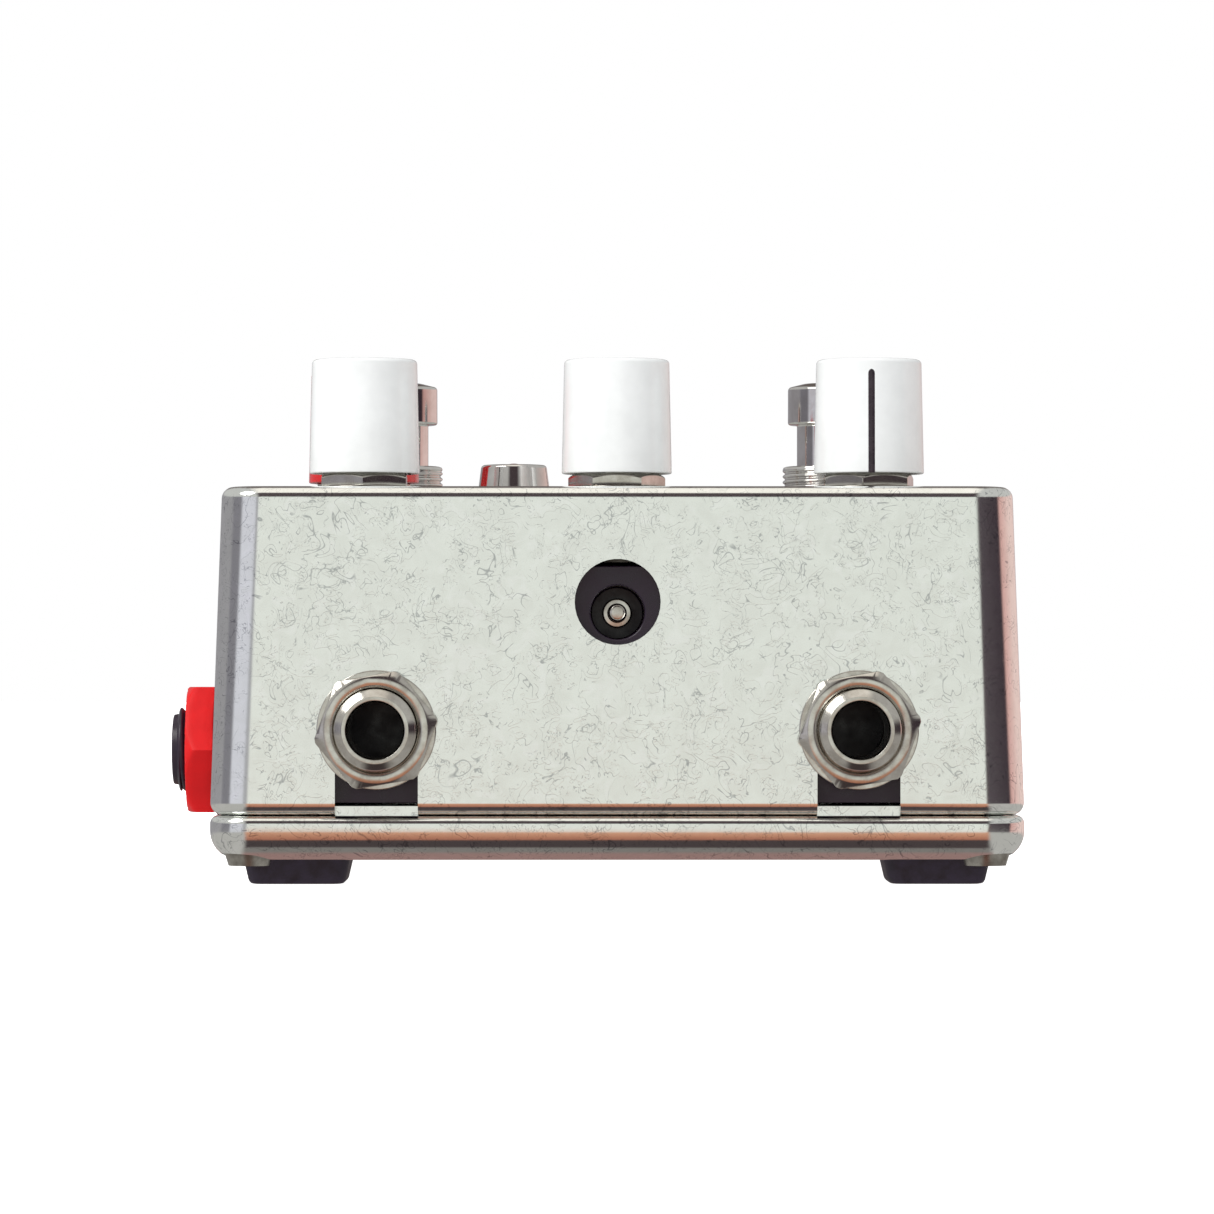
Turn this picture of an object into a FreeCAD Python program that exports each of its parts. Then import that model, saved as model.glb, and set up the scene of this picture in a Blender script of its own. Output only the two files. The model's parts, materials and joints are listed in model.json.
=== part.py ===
import FreeCAD, Part
import os
import re
import Sketcher

# Guitar effects pedal in a die-cast box, in millimetres.
# +Z is up. The jack panel faces -Y and the footswitches stand towards +Y.
# The origin is under the middle of the whole object, on the plane of the feet.

doc = FreeCAD.newDocument("effects_pedal")
sheet = doc.addObject("Spreadsheet::Sheet", "Sizes")

driving = {
    # cast box
    "case_width": 95.4,
    "case_length": 120.0,
    "case_height": 38.4,
    "case_wall": 2.2,
    "panel_wall": 2.2,
    "side_draft": 1.4,
    "corner_radius": 5.0,
    "top_edge_radius": 1.4,
    "rim_radius": 1.5,
    "boss_radius": 3.1,
    "boss_inset": 4.6,
    # base cover
    "cover_height": 5.2,
    "cover_floor": 2.2,
    "cover_edge_radius": 3.4,
    "cover_rim_radius": 1.0,
    "cover_block": 9.5,
    "lip_height": 1.1,
    "lip_wall": 1.4,
    "lip_gap": 0.25,
    # feet
    "foot_height": 3.1,
    "foot_top": 12.7,
    "foot_tip": 11.3,
    "foot_chamfer": 0.5,
    "foot_inset_x": 9.9,
    "foot_inset_y": 16.0,
    # cover screws
    "screw_radius": 1.6,
    "screw_length": 12.0,
    "screw_head_radius": 3.0,
    "screw_head_height": 1.9,
    "screw_proud": 0.7,
    "screw_clearance": 0.2,
    # 6.35 mm jacks in the rear wall
    "jack_x": 28.05,
    "jack_z": 18.3,
    "jack_bore": 3.25,
    "jack_bushing": 4.75,
    "jack_slot": 4.825,
    "jack_reach": 5.0,
    "jack_seat": 4.0,
    "jack_nut_flats": 12.7,
    "jack_nut_height": 2.2,
    "jack_washer_radius": 6.95,
    "jack_washer_height": 0.6,
    "jack_box_width": 19.0,
    "jack_box_height": 17.0,
    "jack_box_length": 27.0,
    "jack_well": 4.3,
    "jack_back_wall": 2.4,
    "leaf_width": 2.6,
    "leaf_height": 0.4,
    "leaf_offset": 3.5,
    "leaf_tail": 4.0,
    "wire_radius": 0.6,
    # 6.35 mm side jack in the -X wall
    "side_jack_y": 41.8,
    "side_jack_z": 15.5,
    "side_bushing": 5.2,
    "side_reach": 6.84,
    "side_nut_flats": 15.4,
    "side_nut_height": 3.5,
    "side_washer_radius": 8.2,
    "side_washer_height": 1.5,
    "side_box_width": 15.6,
    "side_box_height": 11.8,
    # power inlet
    "inlet_hole": 5.0,
    "inlet_z": 33.2,
    "inlet_drop": 1.2,
    "inlet_bore": 3.15,
    "inlet_depth": 9.5,
    "inlet_pin": 1.05,
    "inlet_flange": 1.75,
    "inlet_box_width": 10.4,
    "inlet_box_height": 10.9,
    "inlet_box_length": 13.5,
    "inlet_gap": 0.3,
    "inlet_pin_drop": 0.8,
    "inlet_pin_root": 3.0,
    "inlet_flange_height": 1.2,
    "inlet_lug_width": 2.0,
    "inlet_lug_thickness": 0.5,
    "inlet_lug_height": 5.0,
    "inlet_lug_gap": 3.0,
    # potentiometers and knobs
    "knob_spacing": 30.0,
    "knob_row": 15.0,
    "red_knob_x": 30.9,
    "red_knob_row": 37.0,
    "pot_width": 9.8,
    "pot_length": 11.3,
    "pot_height": 6.7,
    "pot_bushing": 3.5,
    "pot_bushing_reach": 2.5,
    "pot_hole": 3.6,
    "pot_nut_flats": 10.0,
    "pot_nut_height": 1.6,
    "pot_washer_radius": 5.4,
    "pot_washer_height": 0.4,
    "shaft_radius": 3.0,
    "shaft_depth": 9.0,
    "knob_radius": 6.55,
    "red_knob_radius": 6.75,
    "knob_taper": 0.3,
    "knob_height": 13.6,
    "knob_lift": 1.9,
    "red_knob_lift": 1.5,
    "knob_recess": 6.05,
    "knob_recess_depth": 1.0,
    "knob_edge": 0.5,
    "knob_dome": 0.15,
    "shaft_end_gap": 0.3,
    "shaft_floor": 1.0,
    "terminal_width": 0.9,
    "terminal_depth": 1.2,
    "terminal_height": 1.6,
    "terminal_gap": 2.5,
    "pointer_width": 1.0,
    "pointer_depth": 0.6,
    "pointer_top_gap": 0.9,
    # lamp
    "lamp_x": 12.4,
    "lamp_row": 30.0,
    "bezel_base": 4.4,
    "bezel_top": 3.95,
    "bezel_height": 3.5,
    "bezel_stem": 3.4,
    "bezel_bore": 2.6,
    "lamp_radius": 2.5,
    "bezel_nut_flats": 9.0,
    "bezel_nut_height": 2.0,
    "bezel_thread": 4.0,
    "lamp_body_depth": 3.8,
    "lamp_body_height": 5.0,
    "lamp_leg_radius": 0.3,
    "lamp_leg_gap": 2.54,
    # footswitches
    "switch_x": 28.5,
    "switch_row": 90.0,
    "switch_box": 17.4,
    "switch_box_height": 14.0,
    "switch_bushing": 6.0,
    "switch_bore": 4.15,
    "switch_reach": 5.5,
    "switch_neck": 4.1,
    "switch_neck_length": 5.5,
    "switch_head": 5.3,
    "switch_head_height": 5.5,
    "switch_nut_flats": 14.0,
    "switch_nut_height": 2.0,
    "switch_washer_radius": 8.2,
    "switch_washer_height": 0.6,
    "lug_length": 4.5,
    "lug_width": 2.0,
    "lug_thickness": 0.8,
    "lug_gap_x": 5.0,
    "lug_gap_y": 4.8,
    "spring_radius": 3.3,
    "spring_wire": 0.45,
    "spring_turns": 5.0,
    # boards
    "board_height": 1.6,
    "board_width": 74.0,
    "board_front": 76.0,
    "power_board_width": 33.0,
    "power_board_length": 20.0,
    "switch_board_length": 20.0,
    "connector_width": 15.2,
    "connector_depth": 2.5,
    "ribbon_width": 12.7,
    "ribbon_height": 1.0,
    "chip_width": 9.8,
    "chip_depth": 6.4,
    "chip_height": 3.5,
    "film_width": 6.0,
    "film_depth": 2.5,
    "film_height": 6.5,
    "can_radius": 3.15,
    "can_height": 8.0,
    "resistor_radius": 1.2,
    "resistor_length": 6.5,
    "fit_gap": 0.1,
}

derived = {
    "seam_z": "foot_height + cover_height",
    "panel_z": "seam_z + case_height",
    "panel_inside": "panel_z - panel_wall",
    "half_width": "case_width / 2",
    "half_length": "case_length / 2",
    "rear_inside": "-half_length + case_wall",
    "draft_slope": "side_draft / case_height",
    "side_wall_x": "-half_width + draft_slope * (side_jack_z - side_nut_flats / 2 - seam_z)",
    "side_tip_x": "side_wall_x - side_reach",
    "case_x": "(-side_tip_x - half_width) / 2",
    "case_y": "jack_reach / 2",
    "board_top": "panel_inside - pot_height",
    "board_bottom": "board_top - board_height",
    "inlet_axis_z": "inlet_z - inlet_drop",
    "power_board_top": "inlet_axis_z - inlet_box_height / 2",
    "boss_x": "half_width - boss_inset",
    "boss_y": "half_length - boss_inset",
    "knob_z": "panel_z + knob_lift",
    "red_knob_z": "panel_z + red_knob_lift",
    "knob_y": "-half_length + knob_row",
    "red_knob_y": "-half_length + red_knob_row",
    "side_y": "-half_length + side_jack_y",
    "lamp_y": "-half_length + lamp_row",
    "switch_y": "-half_length + switch_row",
    "switch_under": "switch_washer_height + switch_nut_height",
    "switch_box_top": "panel_inside - switch_under",
    "neck_bottom": "switch_box_top + fit_gap",
    "spring_seat": "switch_box_top - switch_box_height + 3",
    "switch_box_bottom": "switch_box_top - switch_box_height",
    "switch_board_top": "switch_box_bottom - lug_length",
}

row = 0
for alias, amount in list(driving.items()) + [(name, "=" + text) for name, text in derived.items()]:
    row += 1
    sheet.set(f"A{row}", alias)
    sheet.set(f"B{row}", str(amount))
    sheet.setAlias(f"B{row}", alias)
doc.recompute()

rearward = FreeCAD.Rotation(FreeCAD.Vector(1, 0, 0), 90)
leftward = FreeCAD.Rotation(FreeCAD.Vector(0, 1, 0), -90)
upright = FreeCAD.Rotation()
nodes = []


def bound(text):
    """An expression with every size name read from the sheet."""
    return re.sub(r"\b[a-z][a-z_]*[a-z]\b(?!\()", lambda word: "Sizes." + word.group(), str(text))


def amount(text):
    """The present value of an expression."""
    return float(sheet.evalExpression(bound(text)))


def place(item, at, turn=upright, own=False):
    """Put an item at a point given from the middle of the case, or from the piece's own origin."""
    item.Placement = FreeCAD.Placement(FreeCAD.Vector(), turn)
    shifts = ("", "", "") if own else ("case_x + ", "case_y + ", "")
    for letter, shift, text in zip("xyz", shifts, at):
        item.setExpression("Placement.Base." + letter, bound(f"{shift}({text})"))
    return item


def solid(kind, name, at, turn=upright, own=False, **sizes):
    """A Part primitive whose sizes are bound to the sheet."""
    item = doc.addObject("Part::" + kind, name)
    for size, text in sizes.items():
        item.setExpression(size, bound(text))
    return place(item, at, turn, own)


def cylinder(name, radius, height, at, turn=upright, own=False):
    return solid("Cylinder", name, at, turn, own, Radius=radius, Height=height)


def block(name, width, depth, height, at, own=False):
    """A box centred on its point in X and Y, standing on it."""
    corner = (f"({at[0]}) - ({width}) / 2", f"({at[1]}) - ({depth}) / 2", at[2])
    return solid("Box", name, corner, upright, own, Length=width, Width=depth, Height=height)


def cut(name, base, *tools):
    """The base with each tool taken away."""
    result = doc.addObject("Part::Cut", name)
    result.Base = base
    result.Tool = tools[0] if len(tools) == 1 else join(name + "_tools", *tools)
    return result


def join(name, *items):
    result = doc.addObject("Part::MultiFuse", name)
    result.Shapes = list(items)
    return result


def common(name, base, tool):
    result = doc.addObject("Part::Common", name)
    result.Base = base
    result.Tool = tool
    return result


def group(name, items):
    result = doc.addObject("Part::Compound", name)
    result.Links = list(items)
    return result


def node(name, item):
    """Mark an object as a finished sub-part and give it its name."""
    item.Label = name
    nodes.append(item)
    return item


def hex_nut(name, flats, height, bore, at, turn=upright, first=0):
    """A hexagonal nut with its outer corners chamfered by a cone."""
    blank = solid("Prism", name + "_blank", at, turn, Circumradius=f"({flats}) / sqrt(3)", Height=height)
    blank.Polygon = 6
    spin = FreeCAD.Rotation(FreeCAD.Vector(0, 0, 1), first)
    blank.Placement = FreeCAD.Placement(blank.Placement.Base, turn.multiply(spin))
    chamfer = solid(
        "Cone", name + "_chamfer", at, turn, Height=height,
        Radius1=f"({flats}) / 2 * 0.98 + ({height}) * sqrt(3)", Radius2=f"({flats}) / 2 * 0.98",
    )
    hole = cylinder(name + "_hole", bore, height, at, turn)
    return cut(name, common(name + "_body", blank, chamfer), hole)


def ring(name, outer, inner, height, at, turn=upright):
    return cut(
        name,
        cylinder(name + "_disc", outer, height, at, turn),
        cylinder(name + "_hole", inner, height, at, turn),
    )


def new_body(name, at=("0", "0", "0"), turn=upright, own=False):
    return place(doc.addObject("PartDesign::Body", name), at, turn, own)


def sketch_on(body, role, offset="0"):
    """A sketch on one of the body's own origin planes, moved along its normal."""
    plane = next(item for item in body.Origin.OriginFeatures if item.Role == role)
    sketch = body.newObject("Sketcher::SketchObject", body.Name + "_sketch")
    sketch.AttachmentSupport = [(plane, "")]
    sketch.MapMode = "FlatFace"
    sketch.setExpression("AttachmentOffset.Base.z", bound(offset))
    return sketch


def pin_point(sketch, line, corner, x, y):
    """Tie a point of a sketch to its two distances from the sketch's origin."""
    for kind, text, axis in (("DistanceX", x, -2), ("DistanceY", y, -1)):
        if text == "0":
            sketch.addConstraint(Sketcher.Constraint("PointOnObject", line, corner, axis))
        else:
            index = sketch.addConstraint(Sketcher.Constraint(kind, -1, 1, line, corner, amount(text)))
            sketch.setExpression(f"Constraints[{index}]", bound(text))


def outline(sketch, points):
    """A closed outline of straight lines through points given as pairs of expressions."""
    first = sketch.GeometryCount
    corners = [FreeCAD.Vector(amount(x), amount(y), 0) for x, y in points]
    for start, end in zip(corners, corners[1:] + corners[:1]):
        sketch.addGeometry(Part.LineSegment(start, end))
    for index in range(len(points)):
        following = first + (index + 1) % len(points)
        sketch.addConstraint(Sketcher.Constraint("Coincident", first + index, 2, following, 1))
    for index, (x, y) in enumerate(points):
        pin_point(sketch, first + index, 1, x, y)
    return sketch


def rectangle(sketch, low_x, high_x, low_y, high_y):
    return outline(sketch, [(low_x, low_y), (high_x, low_y), (high_x, high_y), (low_x, high_y)])


def circle(sketch, x, y, radius):
    middle = FreeCAD.Vector(amount(x), amount(y), 0)
    index = sketch.addGeometry(Part.Circle(middle, FreeCAD.Vector(0, 0, 1), amount(radius)))
    pin_point(sketch, index, 3, x, y)
    number = sketch.addConstraint(Sketcher.Constraint("Radius", index, amount(radius)))
    sketch.setExpression(f"Constraints[{number}]", bound(radius))
    return sketch


def feature(body, kind, sketch, length, reverse=False, symmetric=False):
    """A Pad or a Pocket of the sketch, which must change the volume of the body."""
    before = 0 if body.Tip is None else body.Tip.Shape.Volume
    item = body.newObject("PartDesign::" + kind, body.Name + "_" + kind.lower())
    item.Profile = sketch
    item.setExpression("Length", bound(length))
    item.Reversed = reverse
    item.SideType = "Symmetric" if symmetric else "One side"
    sketch.Visibility = False
    doc.recompute()
    if abs(item.Shape.Volume - before) < 0.01:
        raise ValueError(f"{item.Name} changes nothing")
    return item


def round_edges(body, radius, wanted, kind="Fillet"):
    """Round or chamfer the edges of the body's tip that the test picks out."""
    doc.recompute()
    tip = body.Tip
    names = [f"Edge{n + 1}" for n, edge in enumerate(tip.Shape.Edges) if wanted(edge)]
    item = body.newObject("PartDesign::" + kind, body.Name + "_" + kind.lower())
    item.Base = (tip, names)
    item.setExpression("Radius" if kind == "Fillet" else "Size", bound(radius))
    doc.recompute()
    return item


def edge_at(height, tolerance=0.01):
    """A test for edges that lie wholly at one height in the body's own frame."""
    def test(edge):
        box = edge.BoundBox
        return abs(box.ZMin - height) < tolerance and abs(box.ZMax - height) < tolerance
    return test


def turned(name, profile, at, turn=upright, own=False):
    """A turned piece: pairs of radius and height, revolved about the piece's own axis."""
    body = new_body(name, at, turn, own)
    sketch = outline(sketch_on(body, "XZ_Plane"), profile)
    revolution = body.newObject("PartDesign::Revolution", name + "_revolution")
    revolution.Profile = sketch
    revolution.ReferenceAxis = (sketch, ["V_Axis"])
    revolution.Angle = 360
    doc.recompute()
    return body


# ---- cast box: a drafted block, hollowed from below, with four screw bosses ----

box = new_body("enclosure", ("0", "0", "seam_z"))
profile = [
    ("-half_width", "0"),
    ("half_width", "0"),
    ("half_width - side_draft", "case_height"),
    ("-half_width + side_draft", "case_height"),
]
feature(box, "Pad", outline(sketch_on(box, "XZ_Plane"), profile), "case_length", symmetric=True)
rise = amount("case_height")


def is_corner(edge):
    return edge.BoundBox.ZLength > 0.9 * rise


round_edges(box, "corner_radius", is_corner)
round_edges(box, "top_edge_radius", edge_at(rise))
round_edges(box, "rim_radius", edge_at(0))
inner_half = "half_width - case_wall"
hollow = [
    (f"-({inner_half})", "0"),
    (inner_half, "0"),
    (f"{inner_half} - side_draft", "case_height - panel_wall"),
    (f"-({inner_half}) + side_draft", "case_height - panel_wall"),
]
cavity = outline(sketch_on(box, "XZ_Plane"), hollow)
feature(box, "Pocket", cavity, "case_length - 2 * case_wall", symmetric=True)
bosses = sketch_on(box, "XY_Plane")
for sign_x in ("-", ""):
    for sign_y in ("-", ""):
        circle(bosses, f"{sign_x}boss_x", f"{sign_y}boss_y", "boss_radius")
feature(box, "Pad", bosses, "case_height - panel_wall / 2")
tapped = sketch_on(box, "XY_Plane")
for sign_x in ("-", ""):
    for sign_y in ("-", ""):
        circle(tapped, f"{sign_x}boss_x", f"{sign_y}boss_y", "screw_radius")
feature(box, "Pocket", tapped, "screw_length", reverse=True)

# holes in the top panel
holes = sketch_on(box, "XY_Plane", "case_height")
for x in ("-knob_spacing", "0", "knob_spacing"):
    circle(holes, x, "knob_y", "pot_hole")
circle(holes, "-red_knob_x", "red_knob_y", "pot_hole")
circle(holes, "-lamp_x", "lamp_y", "bezel_stem + fit_gap")
for x in ("-switch_x", "switch_x"):
    circle(holes, x, "switch_y", "switch_bushing + fit_gap")
feature(box, "Pocket", holes, "panel_wall + 1")

# rear wall: two slots open to the rim, with round tops, and the power hole
rear = sketch_on(box, "XZ_Plane", "half_length")
circle(rear, "0", "inlet_z - seam_z", "inlet_hole")
for sign in ("-", ""):
    circle(rear, f"{sign}jack_x", "jack_z - seam_z", "jack_slot")
feature(box, "Pocket", rear, "case_wall + 1")
slots = sketch_on(box, "XZ_Plane", "half_length")
for sign in ("-", ""):
    middle = f"{sign}jack_x"
    rectangle(slots, f"{middle} - jack_slot", f"{middle} + jack_slot", "-1", "jack_z - seam_z")
feature(box, "Pocket", slots, "case_wall + 1")

# hole for the side jack in the -X wall
side = sketch_on(box, "YZ_Plane", "-half_width")
circle(side, "side_y", "side_jack_z - seam_z", "side_bushing + fit_gap")
feature(box, "Pocket", side, "case_wall + 2", reverse=True)
node("enclosure_body", box)

# ---- base cover: a shallow tray with solid corners and a locating lip ----

cover = new_body("cover", ("0", "0", "foot_height"))
rim = rectangle(sketch_on(cover, "XY_Plane"), "-half_width", "half_width", "-half_length", "half_length")
feature(cover, "Pad", rim, "cover_height")
tray = amount("cover_height")
round_edges(cover, "corner_radius", lambda edge: edge.BoundBox.ZLength > 0.9 * tray)
round_edges(cover, "cover_edge_radius", edge_at(0))
round_edges(cover, "cover_rim_radius", edge_at(tray))
inner_x = "half_width - case_wall - lip_gap"
inner_y = "half_length - case_wall - lip_gap"
lip = sketch_on(cover, "XY_Plane", "cover_floor")
for sign in (-1, 1):
    ends = sorted([f"{sign} * ({inner_x})", f"{sign} * ({inner_x} - lip_wall)"], key=amount)
    rectangle(lip, ends[0], ends[1], "cover_block - half_length", "half_length - cover_block")
    ends = sorted([f"{sign} * ({inner_y})", f"{sign} * ({inner_y} - lip_wall)"], key=amount)
    rectangle(lip, "cover_block - half_width", "half_width - cover_block", ends[0], ends[1])
feature(cover, "Pad", lip, "cover_height - cover_floor + lip_height")
well_x = f"{inner_x} - lip_wall"
well_y = f"{inner_y} - lip_wall"
well = sketch_on(cover, "XY_Plane", "cover_height")
rectangle(well, f"-({well_x})", well_x, "cover_block - half_length", "half_length - cover_block")
feature(cover, "Pocket", well, "cover_height - cover_floor")
for sign in ("-", ""):
    ends = sorted([f"{sign}({well_y})", f"{sign}(half_length - cover_block)"], key=amount)
    well = sketch_on(cover, "XY_Plane", "cover_height")
    rectangle(well, "cover_block - half_width", "half_width - cover_block", ends[0], ends[1])
    feature(cover, "Pocket", well, "cover_height - cover_floor")
for radius, depth in (
    ("screw_radius + screw_clearance", "cover_height + 1"),
    ("screw_head_radius + screw_clearance", "screw_head_height - screw_proud"),
):
    sinks = sketch_on(cover, "XY_Plane")
    for sign_x in ("-", ""):
        for sign_y in ("-", ""):
            circle(sinks, f"{sign_x}boss_x", f"{sign_y}boss_y", radius)
    feature(cover, "Pocket", sinks, depth, reverse=True)
node("base_cover", cover)

# ---- screws and feet, one set at each corner ----

corners = [("-", "-"), ("", "-"), ("-", ""), ("", "")]
screws = []
feet = []
for number, (sign_x, sign_y) in enumerate(corners):
    at = (f"{sign_x}boss_x", f"{sign_y}boss_y")
    head_z = "foot_height - screw_proud"
    head = solid(
        "Cone", f"screw_head_{number}", (*at, head_z), Radius1="screw_head_radius * 0.8",
        Radius2="screw_head_radius", Height="screw_head_height",
    )
    shank = cylinder(f"screw_shank_{number}", "screw_radius", "cover_height + screw_length - 3", (*at, head_z))
    drive = [
        block(f"screw_drive_{number}_{turn}", width, depth, "1", (*at, f"{head_z} - 0.2"))
        for turn, (width, depth) in enumerate((("3", "0.7"), ("0.7", "3")))
    ]
    screws.append(cut(f"screw_{number}", join(f"screw_solid_{number}", head, shank), *drive))
    foot_x = f"{sign_x}(half_width - foot_inset_x)"
    foot_y = f"{sign_y}(half_length - foot_inset_y)"
    foot = new_body(f"foot_{number}", (foot_x, foot_y, "0"))
    base = sketch_on(foot, "XY_Plane")
    tip = rectangle(base, "-foot_tip / 2", "foot_tip / 2", "-foot_tip / 2", "foot_tip / 2")
    block_pad = feature(foot, "Pad", tip, "foot_height")
    block_pad.setExpression("TaperAngle", bound("atan((foot_top - foot_tip) / 2 / foot_height)"))
    round_edges(foot, "foot_chamfer", lambda edge: edge.BoundBox.ZMax < 0.01, "Chamfer")
    feet.append(foot)
node("cover_screws", group("screws", screws))
node("rubber_feet", group("feet", feet))

# ---- the two 6.35 mm jacks in the rear wall ----

jack_nuts = []
jack_washers = []
jack_leaves = []
wires = []
for side_name, sign, nut_turn in (("input", "-", 10), ("output", "", 10)):
    x = f"{sign}jack_x"
    seat_y = "rear_inside + jack_seat"
    length = "jack_reach + case_wall + jack_seat"
    tube = cylinder(f"{side_name}_tube", "jack_bushing", length, (x, seat_y, "jack_z"), rearward)
    bore = cylinder(f"{side_name}_bore", "jack_bore", length, (x, seat_y, "jack_z"), rearward)
    node(f"{side_name}_jack_bushing", cut(f"{side_name}_bushing", tube, bore))
    shell = block(
        f"{side_name}_shell", "jack_box_width", "jack_box_length", "jack_box_height",
        (x, "rear_inside + jack_box_length / 2", "jack_z - jack_box_height / 2"),
    )
    seat = cylinder(f"{side_name}_seat", "jack_bushing", "jack_seat", (x, seat_y, "jack_z"), rearward)
    deep = "jack_box_length - jack_back_wall"
    chamber = cylinder(f"{side_name}_well", "jack_well", deep, (x, f"rear_inside + {deep}", "jack_z"), rearward)
    passages = []
    for place_name, height, shift in (
        ("tip", "jack_z + leaf_offset", "-1"),
        ("ring", "jack_z - leaf_offset - leaf_height", "1"),
    ):
        run = "jack_box_length / 2 + leaf_tail"
        middle_y = f"rear_inside + jack_box_length / 2 + ({run}) / 2"
        at = (f"{x} + ({shift})", middle_y, height)
        jack_leaves.append(block(f"{side_name}_{place_name}_leaf", "leaf_width", run, "leaf_height", at))
        passages.append(block(f"{side_name}_{place_name}_way", "leaf_width", run, "leaf_height", at))
    node(f"{side_name}_jack_housing", cut(f"{side_name}_housing", shell, seat, chamber, *passages))
    at = (x, "-half_length", "jack_z")
    jack_washers.append(
        ring(f"{side_name}_washer", "jack_washer_radius", "jack_bushing", "jack_washer_height", at, rearward)
    )
    at = (x, "-half_length - jack_washer_height", "jack_z")
    jack_nuts.append(
        hex_nut(f"{side_name}_nut", "jack_nut_flats", "jack_nut_height", "jack_bushing", at, rearward, nut_turn)
    )
    for index, (height, shift) in enumerate(
        (("jack_z + leaf_offset + leaf_height", "-1.5"), ("jack_z - leaf_offset", "1.8"))
    ):
        at = (f"{x} + ({shift})", "rear_inside + jack_box_length + leaf_tail / 2", height)
        wires.append(cylinder(f"{side_name}_wire_{index}", "wire_radius", f"board_bottom - ({height})", at))
node("jack_nuts", group("rear_nuts", jack_nuts))
node("jack_washers", group("rear_washers", jack_washers))
node("jack_contacts", group("rear_contacts", jack_leaves))
node("jack_wires", group("wires", wires))

# ---- the side jack in the -X wall, with its plastic nut ----

inner_wall_x = "-half_width + case_wall + side_draft"
side_seat_x = f"{inner_wall_x} + jack_seat"
side_length = f"{side_seat_x} - side_tip_x"
at = (side_seat_x, "side_y", "side_jack_z")
side_shell = solid(
    "Box", "side_shell", (inner_wall_x, "side_y - side_box_width / 2", "side_jack_z - side_box_height / 2"),
    Length="jack_box_length", Width="side_box_width", Height="side_box_height",
)
side_tube = cylinder("side_tube", "side_bushing", side_length, at, leftward)
side_body = join("side_body", side_shell, side_tube)
side_bore = cylinder("side_bore", "jack_bore", side_length, at, leftward)
side_deep = "jack_box_length - jack_back_wall"
at = (f"{inner_wall_x} + {side_deep}", "side_y", "side_jack_z")
side_well = cylinder("side_well", "jack_well", f"{side_deep} - jack_seat", at, leftward)
leaves = []
passages = []
for place_name, height in (("tip", "leaf_offset"), ("ring", "-leaf_offset - leaf_height")):
    run = "jack_box_length / 2 + leaf_tail"
    corner = (f"{inner_wall_x} + jack_box_length / 2", "side_y - leaf_width / 2", f"side_jack_z + ({height})")
    for use, collection in (("leaf", leaves), ("way", passages)):
        collection.append(
            solid(
                "Box", f"side_{place_name}_{use}", corner,
                Length=run, Width="leaf_width", Height="leaf_height",
            )
        )
node("side_jack_housing", cut("side_housing", side_body, side_bore, side_well, *passages))
node("side_jack_contacts", group("side_contacts", leaves))
at = ("side_wall_x", "side_y", "side_jack_z")
node(
    "side_jack_washer",
    ring("side_washer", "side_washer_radius", "side_bushing", "side_washer_height", at, leftward),
)
at = ("side_wall_x - side_washer_height", "side_y", "side_jack_z")
node(
    "side_jack_nut",
    hex_nut("side_nut", "side_nut_flats", "side_nut_height", "side_bushing", at, leftward, 30),
)

# ---- power inlet: a square housing with a round well and a centre pin ----

inlet_face = "rear_inside + inlet_gap"
inlet_floor = f"{inlet_face} + inlet_depth"
inlet_shell = block(
    "inlet_shell", "inlet_box_width", "inlet_box_length", "inlet_box_height",
    ("0", f"{inlet_face} + inlet_box_length / 2", "power_board_top"),
)
inlet_well = cylinder("inlet_well", "inlet_bore", "inlet_depth", ("0", inlet_floor, "inlet_axis_z"), rearward)
root_at = ("0", f"{inlet_floor} + inlet_pin_root", "inlet_axis_z")
pin_way = cylinder("inlet_pin_way", "inlet_pin", "inlet_pin_root", root_at, rearward)
node("power_inlet_housing", cut("inlet_housing", inlet_shell, inlet_well, pin_way))
pin_length = "inlet_depth - inlet_pin_drop + inlet_pin_root"
flange_at = ("0", inlet_floor, "inlet_axis_z")
inlet_pin = join(
    "inlet_pin_solid",
    cylinder("inlet_pin_rod", "inlet_pin", pin_length, root_at, rearward),
    cylinder("inlet_pin_flange", "inlet_flange", "inlet_flange_height", flange_at, rearward),
)
inlet_back = f"{inlet_face} + inlet_box_length"
lug_y = f"{inlet_back} + inlet_lug_thickness / 2"
lugs = [
    block(
        f"inlet_lug_{index}", "inlet_lug_width", "inlet_lug_thickness", "inlet_lug_height",
        (x, lug_y, "power_board_top"),
    )
    for index, x in enumerate(("-inlet_lug_gap", "0", "inlet_lug_gap"))
]
node("power_inlet_contacts", group("inlet_contacts", [inlet_pin, *lugs]))

# ---- potentiometers, with a knob and its pointer line on each shaft ----


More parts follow.
